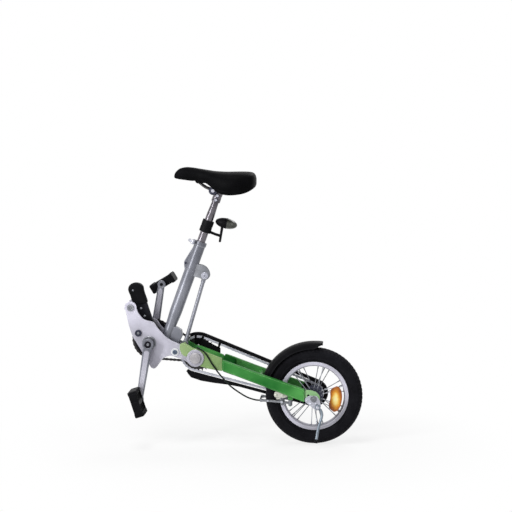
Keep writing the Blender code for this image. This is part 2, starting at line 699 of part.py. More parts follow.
# Chains
first_chain = chain(BOTTOM_BRACKET, RING_TEETH, ARM_PIVOT, JACK_SMALL_TEETH, FIRST_Y)
finish(first_chain, "primary_chain", frame, STEEL)
second_chain = chain(ARM_PIVOT, JACK_LARGE_TEETH, AXLE, REAR_TEETH, SECOND_Y)
finish(second_chain, "secondary_chain", swingarm, STEEL)

# Chain guard: a band round the second loop, open in front, with a web towards the pivot
GUARD_R1 = pitch_radius(JACK_LARGE_TEETH) + 15.0
GUARD_R2 = pitch_radius(REAR_TEETH) + 17.0
way, spread = tangent(ARM_PIVOT, GUARD_R1, AXLE, GUARD_R2)


def guard_band(inset, depth):
    """The guard's outline, drawn in by an inset along its outer edge and ends, with a band of some depth."""
    r1, r2 = GUARD_R1 - inset, GUARD_R2 - inset
    top, low = 115.0 - inset, inset - 124.0
    band = arc(ARM_PIVOT, r1, top, way + spread, 4) + arc(AXLE, r2, way + spread, way - spread, 12)
    band += arc(ARM_PIVOT, r1, way - spread, low, 3) + arc(ARM_PIVOT, r1 - depth, low, way - spread, 3)
    band += arc(AXLE, r2 - depth, way - spread, way + spread, 12)
    return band + arc(ARM_PIVOT, r1 - depth, way + spread, top, 4)


guard_outline = guard_band(0.0, GUARD_WALL)
guard = plate([guard_outline], GUARD_IN, GUARD_IN + GUARD_WIDE)
join(guard, plate([guard_band(0.5, GUARD_LIP)], GUARD_IN + 0.15, GUARD_IN + 1.05))
web_outline = arc(ARM_PIVOT, GUARD_R1 - 1.5, -8.0, 105.0, 9) + arc(ARM_PIVOT, PIVOT_BOSS_R + 4.0, 105.0, -8.0, 7)
join(guard, plate([web_outline], GUARD_IN - 0.4, GUARD_IN + 0.7))
GUARD_STUD = (262.0, -160.0)
join(guard, across(5.0, GUARD_STUD, CHEEK_FAR_Y + CHEEK_FAR + GAP, GUARD_IN, 12))
TAB_X = 450.0
tab_z = guard_outline[4][1] + (TAB_X - guard_outline[4][0]) * math.tan(math.radians(way + spread - 90.0))
join(guard, box(TAB_X - 6.0, TAB_X + 6.0, GUARD_IN + 4.0, ARM_IN - GAP, tab_z - 6.5, tab_z - 1.6))
join(guard, box(TAB_X - 5.0, TAB_X + 5.0, ARM_IN - 2.4, ARM_IN - GAP, tab_z - 48.0, tab_z - 3.0))
finish(guard, "chain_guard", swingarm, BLACK)

# Rear wheel: hub laced to the rim, tyre and a spoke reflector
bore = AXLE_R + FIT
hub_profile = [(HUB_R - 1.5, HUB_END_Y), (HUB_R - 1.5, FLANGE_Y + 4.0), (FLANGE_R, FLANGE_Y + 1.5)]
hub_profile += [(FLANGE_R, FLANGE_Y - 1.5), (HUB_R, FLANGE_Y - 4.0), (HUB_R, 4.0 - FLANGE_Y)]
hub_profile += [(FLANGE_R, 1.5 - FLANGE_Y), (FLANGE_R, -FLANGE_Y - 1.5), (HUB_R, -FLANGE_Y - 4.0)]
hub_profile += [(HUB_R - 1.5, -HUB_END_Y), (bore, -HUB_END_Y), (bore, HUB_END_Y)]
hub = turned_across(hub_profile, AXLE, ring=True)
bm = bmesh.new()
for i in range(SPOKES):
    side = -1.0 if i % 2 else 1.0
    angle = 360.0 * i / SPOKES
    lean = 8.0 if i % 4 < 2 else -8.0
    inner_end = arc(AXLE, FLANGE_R - 4.0, angle, 0.0, 1)[0]
    outer_end = arc(AXLE, RIM_IN_R - 2 * GAP, angle + lean, 0.0, 1)[0]
    start = Vector((inner_end[0], side * FLANGE_Y, inner_end[1]))
    run = Vector((outer_end[0], side * 3.0, outer_end[1])) - start
    turn = run.to_track_quat("Z", "Y").to_matrix().to_4x4()
    bmesh.ops.create_cone(
        bm,
        cap_ends=True,
        segments=4,
        radius1=SPOKE_R * MM,
        radius2=SPOKE_R * MM,
        depth=run.length * MM,
        matrix=Matrix.Translation((start + run / 2) * MM) @ turn,
    )
join(hub, mesh_object(bm))
finish(hub, "rear_hub_spokes", wheel, STEEL)
half = RIM_WIDE / 2
rim_profile = [(RIM_R, half), (RIM_R, -half), (RIM_R - 9.0, -half), (RIM_IN_R, -half / 2)]
rim_profile += [(RIM_IN_R, half / 2), (RIM_R - 9.0, half)]
finish(turned_across(rim_profile, AXLE, WHEEL_STEPS, True), "rear_rim", wheel, SILVER)
bead = RIM_R + GAP
half = TYRE_WIDE / 2
deep = TYRE_R - bead
tyre_profile = [(bead, 0.52 * half), (bead + 0.14 * deep, 0.78 * half), (bead + 0.36 * deep, 0.97 * half)]
tyre_profile += [(bead + 0.6 * deep, half), (bead + 0.82 * deep, 0.84 * half), (bead + 0.95 * deep, 0.5 * half)]
tyre_profile += [(TYRE_R, 0.0)]
tyre_profile += [(r, -h) for r, h in reversed(tyre_profile[:-1])]
finish(turned_across(tyre_profile, AXLE, WHEEL_STEPS, True), "rear_tyre", wheel, RUBBER)
REFLECTOR_R = RIM_IN_R - REFLECTOR_OUT
reflector_outline = arc(AXLE, REFLECTOR_R, -40.0, 26.0, 6) + arc(AXLE, REFLECTOR_R - REFLECTOR_TALL, 26.0, -40.0, 5)
reflector = soften(plate([reflector_outline], -25.2, -19.3), 1.5)
finish(reflector, "spoke_reflector", wheel, AMBER)

# Axle, nuts and mudguard
end_y = DROPOUT_OUT + 14.0
axle_half = [(0.0, end_y), (AXLE_R, end_y), (AXLE_R, DROPOUT_IN - GAP), (9.0, DROPOUT_IN - GAP)]
axle_half += [(9.0, HUB_END_Y + GAP), (AXLE_R, HUB_END_Y + GAP)]
rear_axle = turned_across(axle_half + [(r, -h) for r, h in reversed(axle_half)], AXLE, 14)
BRACKET = 3.2
bracket_out = DROPOUT_OUT + GAP + BRACKET
join(rear_axle, across(9.5, AXLE, -bracket_out - GAP - 8.0, -bracket_out - GAP, 6))
join(rear_axle, across(9.5, AXLE, DROPOUT_OUT + GAP, DROPOUT_OUT + GAP + 8.0, 6))
finish(rear_axle, "rear_axle", swingarm, STEEL)

MUDGUARD_FRONT = 162.0
MUDGUARD_REAR = 81.0
half = MUDGUARD_WIDE / 2
bm = bmesh.new()
rim_points = [(-half, -MUDGUARD_SKIRT), (-0.96 * half, -9.5), (-0.8 * half, -3.8), (-0.4 * half, -0.8), (0.0, 0.0)]
rim_points += [(-y, r) for y, r in reversed(rim_points[:-1])]
verts = [bm.verts.new(((MUDGUARD_R + r) * MM, 0.0, y * MM)) for y, r in reversed(rim_points)]
for first, second in zip(verts, verts[1:]):
    bm.edges.new((first, second))
mudguard = mesh_object(bm)
front = math.radians(MUDGUARD_FRONT)
mudguard.matrix_world = Matrix(
    (
        (math.cos(front), math.sin(front), 0.0, AXLE[0] * MM),
        (0.0, 0.0, 1.0, 0.0),
        (math.sin(front), -math.cos(front), 0.0, AXLE[1] * MM),
        (0.0, 0.0, 0.0, 1.0),
    )
)
screw = mudguard.modifiers.new("turn", "SCREW")
screw.angle = math.radians(MUDGUARD_FRONT - MUDGUARD_REAR)
screw.steps = 12
screw.render_steps = 12
screw.use_smooth_shade = True
shell = mudguard.modifiers.new("shell", "SOLIDIFY")
shell.thickness = 2.0 * MM
shell.offset = -1.0
finish(mudguard, "mudguard", swingarm, BLACK)

# Kickstand on its bracket
bracket_outline = [(ARM_REAR_X + 2 * GAP, -286.0), (580.0, -277.5), (604.0, -277.5), (614.0, -290.0), (619.0, -312.0)]
bracket_outline += [(613.0, -323.0), (600.0, -323.5), (ARM_REAR_X + 2 * GAP, -297.0)]
bracket = plate([bracket_outline, circle(AXLE, bore, 16)], -bracket_out, -DROPOUT_OUT - GAP)
join(bracket, across(3.5, KICKSTAND_PIVOT, -bracket_out - 14.5, -bracket_out + 1.0, 16))
for at in ((573.0, -293.5), (585.5, -303.0), (602.5, -303.5)):
    join(bracket, across(3.0, at, -bracket_out - 2.2, -bracket_out + 1.0, 12))
finish(bracket, "kickstand_bracket", swingarm, STEEL)
leg_y = -bracket_out - 7.0
leg = rod(
    [
        (KICKSTAND_PIVOT[0], leg_y, KICKSTAND_PIVOT[1]),
        (620.6, leg_y - 2.0, -329.9),
        (621.4, leg_y - 4.0, -343.4),
        (610.6, leg_y - 9.0, -379.7),
        (602.5, leg_y - 15.0, -427.0),
    ],
    4.5,
    3,
)
stand = across(8.0, KICKSTAND_PIVOT, -bracket_out - 13.0, -bracket_out - GAP)
cut(join(stand, leg), across(3.5 + FIT, KICKSTAND_PIVOT, -bracket_out - 25.0, 0.0, 16))
finish(stand, "kickstand", kickstand, GREY)

# Brake: a bracket inside each arm, with an upright stud that carries a brake arm
STUD_R = 4.0
CABLE_END_X = 421.0
for side, carrier, name in ((-1, brake_near, "near"), (1, brake_far, "far")):
    x, z = BRAKE_PIVOT
    y = side * BRAKE_Y
    mount = box(x - 11.0, x + 11.0, y - side * 6.0, side * (ARM_IN - GAP), z + 26.0, z + 42.0, 2.0)
    join(mount, box(x - 8.0, x + 8.0, y - 5.0, y + 5.0, z + 13.0, z + 30.0))
    join(mount, cylinder(STUD_R, (x, y, z - 9.0), (x, y, z + 15.0), 16))
    finish(mount, "brake_mount_" + name, swingarm, GREEN)
    out = side * (BRAKE_Y + 1.5)
    route = [(x, y, z + 1.0), (PAD_X + 8.5, y, -306.0), (PAD_X - 13.5, out, -303.5)]
    lever = rod(route + [(CABLE_END_X + 19.0, out, -301.0), (CABLE_END_X + 3.0, out, -300.0)], 4.2)
    join(lever, cylinder(6.5, (x, y, z - 7.0), (x, y, z + 13.0 - GAP), 16))
    join(lever, cylinder(3.4, (PAD_X - 0.5, out, -304.0), (PAD_X - 0.5, side * 24.0, -304.0), 12))
    join(lever, box(PAD_X - 4.5, PAD_X + 4.5, side * (RIM_WIDE / 2 + 0.8), side * 25.0, -318.0, -290.0))
    cut(lever, cylinder(STUD_R + FIT, (x, y, z - 30.0), (x, y, z + 30.0), 16))
    finish(lever, "brake_arm_" + name, carrier, GREY)


def smooth_path(points, per):
    """Points of a smooth curve through the given ones."""
    ends = [2 * Vector(points[0]) - Vector(points[1])] + [Vector(p) for p in points]
    ends.append(2 * ends[-1] - ends[-2])
    path = []
    for a, b, c, d in zip(ends, ends[1:], ends[2:], ends[3:]):
        for i in range(per):
            t = i / per
            path.append(0.5 * (2 * b + (c - a) * t + (2 * a - 5 * b + 4 * c - d) * t**2 + (3 * b - a - 3 * c + d) * t**3))
    return path + [ends[-2]]


CABLE_R = 2.5
cable_y = -CHEEK_NEAR_Y - CHEEK - CABLE_R - GAP
cable_route = [(216.0, cable_y, -126.5), (237.0, cable_y, -138.0), (250.0, cable_y, -153.0)]
cable_route += [(264.0, cable_y, -176.0), (286.0, cable_y - 2.0, -207.0)]
cable_route += [(309.6, cable_y - 2.0, -234.2), (332.2, cable_y, -256.8), (374.4, -50.0, -285.0)]
cable_route += [(402.0, -45.0, -296.0), (417.0, -37.0, -299.5), (CABLE_END_X, -27.0, -300.0)]
cable_route += [(CABLE_END_X, y, -300.0) for y in (0.0, 27.0, 36.0)]
finish(rod(smooth_path(cable_route, 3), CABLE_R, 1), "brake_cable", swingarm, BLACK)

# Seat mast: barrel on its pin, tube, clamp, lug for the strut and a foot on the stop bar
MAST_START = (SEAT_PIVOT[0], 0.0, SEAT_PIVOT[1])


def on_mast(profile, ring=False):
    return turned(profile, MAST_START, MAST_AXIS, ROUND_STEPS, ring)


def along_mast(radius, t0, t1, sides=ROUND_STEPS):
    a, b = mast(t0), mast(t1)
    return cylinder(radius, (a[0], 0.0, a[1]), (b[0], 0.0, b[1]), sides)


mast_profile = [(0.0, CLAMP_TOP), (CLAMP_R, CLAMP_TOP), (CLAMP_R, SLEEVE_TOP - 3.0), (SLEEVE_R, SLEEVE_TOP - 5.0)]
mast_profile += [(SLEEVE_R, MAST_TOP), (MAST_R, MAST_TOP - 3.0), (MAST_R, 2.0), (0.0, 2.0)]
tube = on_mast(mast_profile)
join(tube, across(BARREL_R, SEAT_PIVOT, -BARREL_Y, BARREL_Y))
fin = [mast(258.0, -12.0), mast(261.0, -27.0), mast(268.0, -30.0), mast(328.0, -17.5), mast(328.0, -12.0)]
join(tube, plate([fin], -5.0, 5.0))
ears = [mast(CLAMP_TOP - 12.5, -12.0), mast(CLAMP_TOP - 12.5, -29.0), mast(CLAMP_TOP - 1.5, -29.0), mast(CLAMP_TOP - 1.5, -12.0)]
join(tube, plate([ears], -13.0, 13.0))
join(tube, across(3.0, mast(*SKEWER), LEVER_Y + 6.0 + GAP, 18.0, 12))
lug_in = STRUT_R + 2 * GAP
lug = [mast(280.0, 10.0), mast(268.0, 40.0), mast(261.5, 50.0), mast(257.0, 59.0), mast(250.0, 63.0), mast(242.0, 62.0)]
lug += [mast(236.0, 56.0), mast(234.0, 48.0), mast(235.0, 30.0), mast(238.0, 10.0)]
PIN_TOP_R = 5.0
for side in (-1, 1):
    ear = plate([lug, circle(STRUT_TOP, PIN_TOP_R + FIT, 16)], side * lug_in, side * (lug_in + 5.0))
    join(tube, ear)
foot_z = STOP_BAR[1] + STOP_R + GAP
foot = [(126.0, -64.0), (146.0, -66.0), (162.0, -78.0), (165.0, -96.0), (159.0, -106.0), (153.0, foot_z)]
foot += [(140.0, foot_z), (126.0, -104.0), (116.0, -96.0)]
join(tube, plate([foot], -12.0, 12.0))
cut(tube, along_mast(POST_R + FIT, 62.0, CLAMP_TOP + 20.0))
cut(tube, across(SEAT_BOLT_R + FIT, SEAT_PIVOT, -BARREL_Y - 8.0, BARREL_Y + 8.0))
finish(tube, "seat_tube", seat_tube, SILVER)

# Strut from the mast to the swinging arm
top = (STRUT_TOP[0], 0.0, STRUT_TOP[1])
low = (STRUT_PIN[0], 0.0, STRUT_PIN[1])
link = cylinder(STRUT_R, top, low, 16)
join(link, across(11.0, STRUT_TOP, -STRUT_EYE_Y, STRUT_EYE_Y, 20))
join(link, across(10.5, STRUT_PIN, -STRUT_EYE_Y - 0.4, STRUT_EYE_Y + 0.4, 20))
join(link, across(PIN_TOP_R, STRUT_TOP, -lug_in - 5.0, lug_in + 5.0, 16))
finish(link, "seat_strut", strut, SILVER)

# Clamp lever in front of the mast
lever_top = mast(SKEWER[0] + 7.0, SKEWER[1])
lever_low = mast(SKEWER[0] - 7.0, SKEWER[1])
cam = cylinder(6.0, (lever_low[0], LEVER_Y, lever_low[1]), (lever_top[0], LEVER_Y, lever_top[1]), 16)
route = []
for off, y in ((SKEWER[1], LEVER_Y), (-33.0, -21.0), (-37.5, -10.0), (-37.5, 14.0)):
    x, z = mast(SKEWER[0], off)
    route.append((x, y, z))
finish(join(cam, rod(route, 3.6)), "seat_clamp_lever", clamp_lever, STEEL)

# Seat post with the lamp on its bracket
post_profile = [(0.0, POST_TOP), (POST_NECK_R, POST_TOP), (POST_NECK_R, 482.0), (POST_R, 430.0)]
post_profile += [(POST_R, POST_FOOT), (0.0, POST_FOOT)]
finish(on_mast(post_profile), "seat_post", seat_post, CHROME)
bore = POST_R + FIT
holder = on_mast([(19.0, 420.0), (19.0, 380.0), (bore, 380.0), (bore, 420.0)], True)
join(holder, rod([(248.0, 0.0, 247.5), (270.0, 0.0, 238.0), (290.0, 0.0, 231.5)], 4.5))
join(holder, plate([[(284.5, 212.0), (291.0, 211.0), (300.0, 262.0), (292.0, 264.0)]], -10.0, 10.0))
LAMP = (309.0, 272.0)
LAMP_TILT = math.radians(12.0)


def lamp_solid(grow):
    bm = bmesh.new()
    bmesh.ops.create_uvsphere(bm, u_segments=14, v_segments=7, radius=MM)
    bmesh.ops.scale(bm, vec=(36.0 + grow, 23.0 + grow, 17.0 + grow), verts=bm.verts)
    obj = mesh_object(bm)
    obj.location = (LAMP[0] * MM, 0.0, LAMP[1] * MM)
    obj.rotation_euler = (0.0, LAMP_TILT, 0.0)
    return obj


cut(holder, lamp_solid(FIT), along_mast(bore, 370.0, 430.0))
finish(holder, "lamp_bracket", seat_post, BLACK)
finish(lamp_solid(0.0), "rear_lamp", seat_post, DARK, True)

# Saddle clamp, rails, base and pad
socket = POST_NECK_R + FIT
clamp = on_mast([(0.0, 520.0), (14.6, 520.0), (14.6, 484.0), (0.0, 484.0)])
join(clamp, across(12.5, SADDLE_PIVOT, -15.0, 15.0))
cut(clamp, along_mast(socket, 470.0, POST_TOP + GAP))
finish(clamp, "saddle_clamp", seat_post, CHROME)
RAIL_Z = SADDLE_PIVOT[1] + 7.5
BASE_LOW = 402.7
rail_end = BASE_LOW - GAP - RAIL_R
half_rail = [(238.0, 9.0, rail_end - 0.5), (243.0, 15.0, rail_end - 2.0), (253.0, 21.0, RAIL_Z + 3.0)]
half_rail += [(261.0, RAIL_Y, RAIL_Z), (290.0, RAIL_Y, RAIL_Z), (312.0, 25.0, RAIL_Z + 3.5), (340.0, 31.0, rail_end)]
half_rail += [(356.0, 34.0, rail_end)]
route = [(x, -y, z) for x, y, z in reversed(half_rail)] + [(236.0, 0.0, rail_end)] + half_rail
rails = rod(route, RAIL_R, 1)
for side in (-1, 1):
    join(rails, across(14.0, SADDLE_PIVOT, side * (15.0 + GAP), side * (RAIL_Y + 6.5)))
finish(rails, "saddle_rails", saddle, CHROME)


def saddle_plate(grow, z0, z1):
    """The base's outline seen from above, as a plate from z0 to z1."""
    side = [(230.0, 12.0), (246.0, 14.0), (264.0, 22.0), (296.0, 38.0), (330.0, 47.0), (362.0, 47.0), (372.0, 38.0)]
    side = [(side[0][0] - grow, side[0][1]), *side[1:-1], (side[-1][0] + grow, side[-1][1])]
    outline = [(x, y + grow) for x, y in side] + [(x, -y - grow) for x, y in reversed(side)]
    flat = plate([outline], 0.0, z1 - z0)
    flat.matrix_world = Matrix.Translation((0.0, 0.0, (z0 + z1) / 2 * MM))
    return flat


finish(saddle_plate(0.0, BASE_LOW, BASE_LOW + 3.0), "saddle_base", saddle, BLACK)

stations = (
    (139.0, 428.0, 421.0, 5.0),
    (147.0, 442.0, 418.5, 15.0),
    (167.0, 454.0, 414.5, 21.0),
    (195.0, 454.5, 411.0, 25.0),
    (222.0, 450.0, 407.0, 30.0),
    (250.0, 445.0, 393.0, 43.0),
    (278.0, 441.0, 373.5, 60.0),
    (310.0, 439.5, 364.5, 74.0),
    (342.0, 440.5, 365.5, 80.0),
    (374.0, 441.0, 371.0, 79.0),
    (399.0, 440.0, 380.0, 66.0),
    (407.0, 420.0, 398.0, 40.0),
)
section = ((0.0, 0.0), (0.5, 0.03), (0.84, 0.14), (1.0, 0.42), (1.0, 0.82), (0.9, 1.0), (0.5, 0.98), (0.0, 0.98))
bm = bmesh.new()
rings = []
for x, high, deep, wide in stations:
    rings.append([bm.verts.new((x * MM, wide * y * MM, (high + (deep - high) * z) * MM)) for y, z in section])
for first, second in zip(rings, rings[1:]):
    for i in range(len(section) - 1):
        bm.faces.new((first[i], first[i + 1], second[i + 1], second[i]))
bm.faces.new(list(reversed(rings[0])))
bm.faces.new(rings[-1])
bmesh.ops.recalc_face_normals(bm, faces=bm.faces)
pad = mesh_object(bm)
mirror = pad.modifiers.new("mirror", "MIRROR")
mirror.use_axis = (False, True, False)
mirror.use_clip = True
mirror.merge_threshold = 0.00001
soft = pad.modifiers.new("soft", "SUBSURF")
soft.levels = 1
soft.render_levels = 1
cut(pad, saddle_plate(GAP, BASE_LOW - 60.0, BASE_LOW + 3.0 + GAP))
cut(pad, saddle_plate(14.0, BASE_LOW - 70.0, BASE_LOW - GAP))
finish(pad, "saddle_pad", saddle, LEATHERETTE, True)
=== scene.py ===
"""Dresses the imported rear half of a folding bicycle: camera, light, finishes and finely detailed pieces."""

import math

import bmesh
import bpy
from mathutils import Matrix, Vector


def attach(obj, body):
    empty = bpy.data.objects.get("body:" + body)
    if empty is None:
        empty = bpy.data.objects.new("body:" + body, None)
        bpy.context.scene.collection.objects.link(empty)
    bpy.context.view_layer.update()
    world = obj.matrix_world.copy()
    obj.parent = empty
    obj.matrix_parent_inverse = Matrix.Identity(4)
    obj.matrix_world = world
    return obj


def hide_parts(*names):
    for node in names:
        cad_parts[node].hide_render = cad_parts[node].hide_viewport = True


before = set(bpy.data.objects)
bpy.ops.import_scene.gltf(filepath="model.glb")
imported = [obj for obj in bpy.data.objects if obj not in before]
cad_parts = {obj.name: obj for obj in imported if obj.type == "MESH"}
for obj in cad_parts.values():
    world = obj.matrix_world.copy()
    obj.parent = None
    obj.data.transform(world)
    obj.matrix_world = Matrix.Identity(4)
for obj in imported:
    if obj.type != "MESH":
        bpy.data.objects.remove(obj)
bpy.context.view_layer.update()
SCENE = bpy.context.scene
MM = 0.001

# Places in millimetres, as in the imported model: X to the rear, Y to the chain side, Z up
UPPER_PIVOT = (0, 0, 0)
LOWER_PIVOT = (25.5, 0, -82.9)
BOTTOM_BRACKET = (60.5, 0, -115)
LOCK_PIVOT = (80, 0, -80)
SEAT_PIVOT = (108.3, 0, -112.9)
REAR_BOLT = (144.5, 0, -143.9)
STOP_BAR = (146, 0, -122.5)
ARM_PIVOT = (211.8, 0, -161.6)
STRUT_TOP = (239, 0, 102.6)
STRUT_PIN = (173.6, 0, -121.1)
SADDLE_PIVOT = (268, 0, 379)
LAMP = (309, 0, 272)
BRAKE_PIVOT = (518.7, -309.9)
PAD_X = 491.5
AXLE = (594.8, 0, -287.9)
STAND_PIVOT = (608, 0, -313.9)
GROUND = -446.6
MAST_TILT = math.radians(20)
MAST_AXIS = (math.sin(MAST_TILT), 0, math.cos(MAST_TILT))
CLAMP = (339, -23)  # along the mast from the seat pivot, and off to the rear

# Distances from the middle plane, in millimetres
SIDES = ((-1, "near"), (1, "far"))
PLATE_IN, PLATE_OUT = 34, 41
INNER_END = 33.7  # ends of what sits between the side plates
ARM_IN, ARM_OUT = 54, 72
ARM_CLEAR = 53.7  # ends of what sits between the arms
FIRST_CHAIN, SECOND_CHAIN = 56, 47
SPROCKET_HALF = 1.2

# Drive
PITCH = 12.7
LINK_R, LINK_WAIST = 3.9, 2.7  # half the height of a link's plates, at the pins and between them
OUTER_LINK, INNER_LINK = (2.85, 3.75), (1.85, 2.7)  # a plate's faces, from the chain's middle plane
ROLLER_R, ROLLER_HALF, PIN_R, PIN_HALF = 3.1, 1.75, 1.7, 4
TOOTH_TALL, TOOTH_TIP = 2.8, 0.9  # above the circle of rollers, and half the width of a tip
RING_TEETH, SMALL_TEETH, LARGE_TEETH, REAR_TEETH = 32, 14, 28, 14
CRANK_LENGTH = 182
CRANK_TILT = math.radians(9)
PEDAL_TILT = {"near": -72, "far": 31}
PEDAL_LONG, PEDAL_TALL, PEDAL_WIDE = 78, 30, 85
PEDAL_INNER = 80  # inner end, from the middle plane
PEDAL_SCALE = (0.92, 0.97, 0.96)
TREAD_RIBS, TREAD_RIB_GAP = 9, 8.6
CROSS_RIBS, CROSS_RIB_GAP = 4, 20

# Wheel
BEAD_R, TYRE_R, TYRE_HALF = 112.3, 158.2, 25
TREAD_BLOCKS, TREAD_DEEP, TREAD_SLANT, TREAD_GAP = 72, 1.6, 1.6, 0.22
SPOKES, SPOKE_IN, SPOKE_OUT, SPOKE_LEAN = 28, 25, 96.6, 8
SPOKE_R, NIPPLE_R = 1.35, 1.9
MUDGUARD_R = 178
REFLECTOR_FACE = -24

# Lamp
LAMP_SIZE = (36, 23, 17)
LAMP_TILT = math.radians(12)

# Camera at the photograph's angle, aimed at the point behind the middle of the picture
AIM = Vector((405.25, 0, 166.6)) * MM
AZIMUTH = math.radians(3.33)
ELEVATION = math.radians(5.26)
DISTANCE = 4.807
FOCAL = 104.31
SENSOR = 36

# Lamps: name, place in metres, width, height and power
LIGHTS = (
    ("key_light", (-2.7, -3.1, 1.3), 0.8, 2.8, 150),
    ("top_light", (-0.4, -1.2, 4.2), 1.6, 1.6, 70),
    ("fill_light", (3.4, -2.8, 1.4), 1.2, 2, 16),
    ("rim_light", (1.6, 2.8, 2.8), 1.8, 1.8, 45),
)
SURROUND = 0.22
FLOOR_HALF = 14
CORNER = math.radians(38)  # edges sharper than this stay sharp

# The shape functions add to this mesh, and piece() makes an object of what is on it
BENCH = bmesh.new()


def bench_mesh(name):
    """A mesh of all that is on the bench, which is empty afterwards."""
    mesh = bpy.data.meshes.new(name)
    BENCH.to_mesh(mesh)
    BENCH.clear()
    return mesh


def link_object(name, data):
    """A new object in the scene."""
    made = bpy.data.objects.new(name, data)
    SCENE.collection.objects.link(made)
    return made


def place_camera():
    """The photograph's view."""
    camera = link_object("camera", bpy.data.cameras.new("camera"))
    level = math.cos(ELEVATION)
    away = Vector((math.sin(AZIMUTH) * level, -math.cos(AZIMUTH) * level, math.sin(ELEVATION)))
    camera.location = AIM + away * DISTANCE
    camera.rotation_euler = (-away).to_track_quat("-Z", "Y").to_euler()
    camera.data.lens = FOCAL
    camera.data.sensor_width = SENSOR
    camera.data.clip_end = 60
    SCENE.camera = camera


class Nodes:
    """Makes nodes in a tree."""

    def __init__(self, tree):
        self.tree = tree

    def feed(self, socket, value):
        """Links a field to a socket, or gives it a fixed value."""
        if isinstance(value, bpy.types.NodeSocket):
            self.tree.links.new(value, socket)
        else:
            socket.default_value = value

    def add(self, kind, inputs=None, **settings):
        """A node with its settings, and a field or a fixed value for some of its inputs."""
        node = self.tree.nodes.new(kind)
        for key, value in settings.items():
            setattr(node, key, value)
        for key, value in (inputs or {}).items():
            self.feed(node.inputs[key], value)
        return node

    def seen_directly(self):
        """One for rays from the camera, a mirror or glass, and nought for the light on the object."""
        rays = self.add("ShaderNodeLightPath").outputs
        total = rays["Is Camera Ray"]
        for name in ("Is Glossy Ray", "Is Transmission Ray"):
            total = self.add("ShaderNodeMath", {0: total, 1: rays[name]}, use_clamp=True).outputs["Value"]
        return total

    def whiten(self, shader, white, share, output):
        """Goes over from a shader to a white one by a share, at the tree's output."""
        mix = self.add("ShaderNodeMixShader", {"Fac": share, 1: shader.outputs[0], 2: white.outputs[0]})
        self.feed(self.tree.nodes[output].inputs["Surface"], mix.outputs["Shader"])


class Finish(Nodes):
    """A material whose colour, roughness and bump come from nodes in object space."""

    def __init__(self, name):
        self.material = bpy.data.materials.new(name)
        self.material.use_nodes = True
        super().__init__(self.material.node_tree)
        self.shader = self.tree.nodes["Principled BSDF"]
        self.place = self.add("ShaderNodeTexCoord").outputs["Object"]

    def noise(self, scale, detail=4):
        """A noise field with its features per metre."""
        inputs = {"Vector": self.place, "Scale": scale, "Detail": detail}
        return self.add("ShaderNodeTexNoise", inputs).outputs["Fac"]

    def ramp(self, field, stops):
        """Colours at places along a field."""
        ramp = self.add("ShaderNodeValToRGB", {"Fac": field})
        elements = ramp.color_ramp.elements
        while len(elements) < len(stops):
            elements.new(0.5)
        for element, (place, colour) in zip(elements, stops):
            element.position = place
            element.color = colour
        return ramp.outputs["Color"]

    def ranged(self, field, limits, **settings):
        """A field brought from one range of values to another."""
        return self.add("ShaderNodeMapRange", {"Value": field, **limits}, **settings).outputs["Result"]

    def spread(self, field, low, high):
        """A field of values between low and high."""
        return self.ranged(field, {"To Min": low, "To Max": high})

    def number(self, operation, *fields):
        """The result of a sum on fields or fixed numbers."""
        return self.add("ShaderNodeMath", dict(enumerate(fields)), operation=operation).outputs["Value"]

    def vector(self, operation, *fields, output="Value"):
        """The result of a vector operation on fields or fixed vectors."""
        return self.add("ShaderNodeVectorMath", dict(enumerate(fields)), operation=operation).outputs[output]

    def bump(self, field, strength, distance):
        """Relief by a field, with its distance in millimetres."""
        inputs = {"Height": field, "Strength": strength, "Distance": distance * MM}
        self.set(Normal=self.add("ShaderNodeBump", inputs).outputs["Normal"])

    def edges(self, reach):
        """A field that rises from nought on flat faces to one on edges, within a reach in millimetres."""
        soft = self.add("ShaderNodeBevel", {"Radius": reach * MM}, samples=4).outputs["Normal"]
        plain = self.add("ShaderNodeNewGeometry").outputs["True Normal"]
        return self.ranged(self.vector("DOT_PRODUCT", soft, plain), {"From Min": 0.985, "From Max": 0.9})

    def mixed(self, factor, first, second, **settings):
        """A mix of two colours."""
        inputs = {"Factor": factor, 6: first, 7: second}
        return self.add("ShaderNodeMix", inputs, data_type="RGBA", **settings).outputs[2]

    def set(self, **values):
        """Gives the shader's inputs their fields or fixed values."""
        for key, value in values.items():
            self.feed(self.shader.inputs[key.replace("_", " ")], value)


def make_floor():
    """A pale floor that takes the object's shadow and goes over to plain white further out."""
    bmesh.ops.create_grid(BENCH, x_segments=1, y_segments=1, size=FLOOR_HALF)
    mesh = bench_mesh("floor")
    floor = link_object("floor", mesh)
    floor.location = (0.4, 0, GROUND * MM)
    made = Finish("floor")
    made.set(Base_Color=(0.95, 0.95, 0.95, 1), Roughness=0.9, Specular_IOR_Level=0.1)
    limits = {"From Min": 0.3, "From Max": 0.9, "To Min": 0.78}
    far = made.ranged(made.vector("LENGTH", made.place), limits, interpolation_type="SMOOTHSTEP")
    share = made.number("MULTIPLY", far, made.seen_directly())
    made.whiten(made.shader, made.add("ShaderNodeEmission"), share, "Material Output")
    mesh.materials.append(made.material)


def set_light():
    """A white surround and four large soft lamps."""
    world = bpy.data.worlds.new("studio")
    world.use_nodes = True
    made = Nodes(world.node_tree)
    dim, white = made.tree.nodes["Background"], made.add("ShaderNodeBackground")
    for node, strength in ((dim, SURROUND), (white, 1)):
        made.feed(node.inputs["Color"], (1, 1, 1, 1))
        made.feed(node.inputs["Strength"], strength)
    made.whiten(dim, white, made.seen_directly(), "World Output")
    SCENE.world = world
    for name, at, wide, tall, power in LIGHTS:
        lamp = link_object(name, bpy.data.lights.new(name, "AREA"))
        lamp.data.shape = "RECTANGLE"
        lamp.data.size = wide
        lamp.data.size_y = tall
        lamp.data.energy = power
        lamp.location = at
        lamp.rotation_euler = (AIM - Vector(at)).to_track_quat("-Z", "Y").to_euler()
    SCENE.view_settings.view_transform = "Standard"


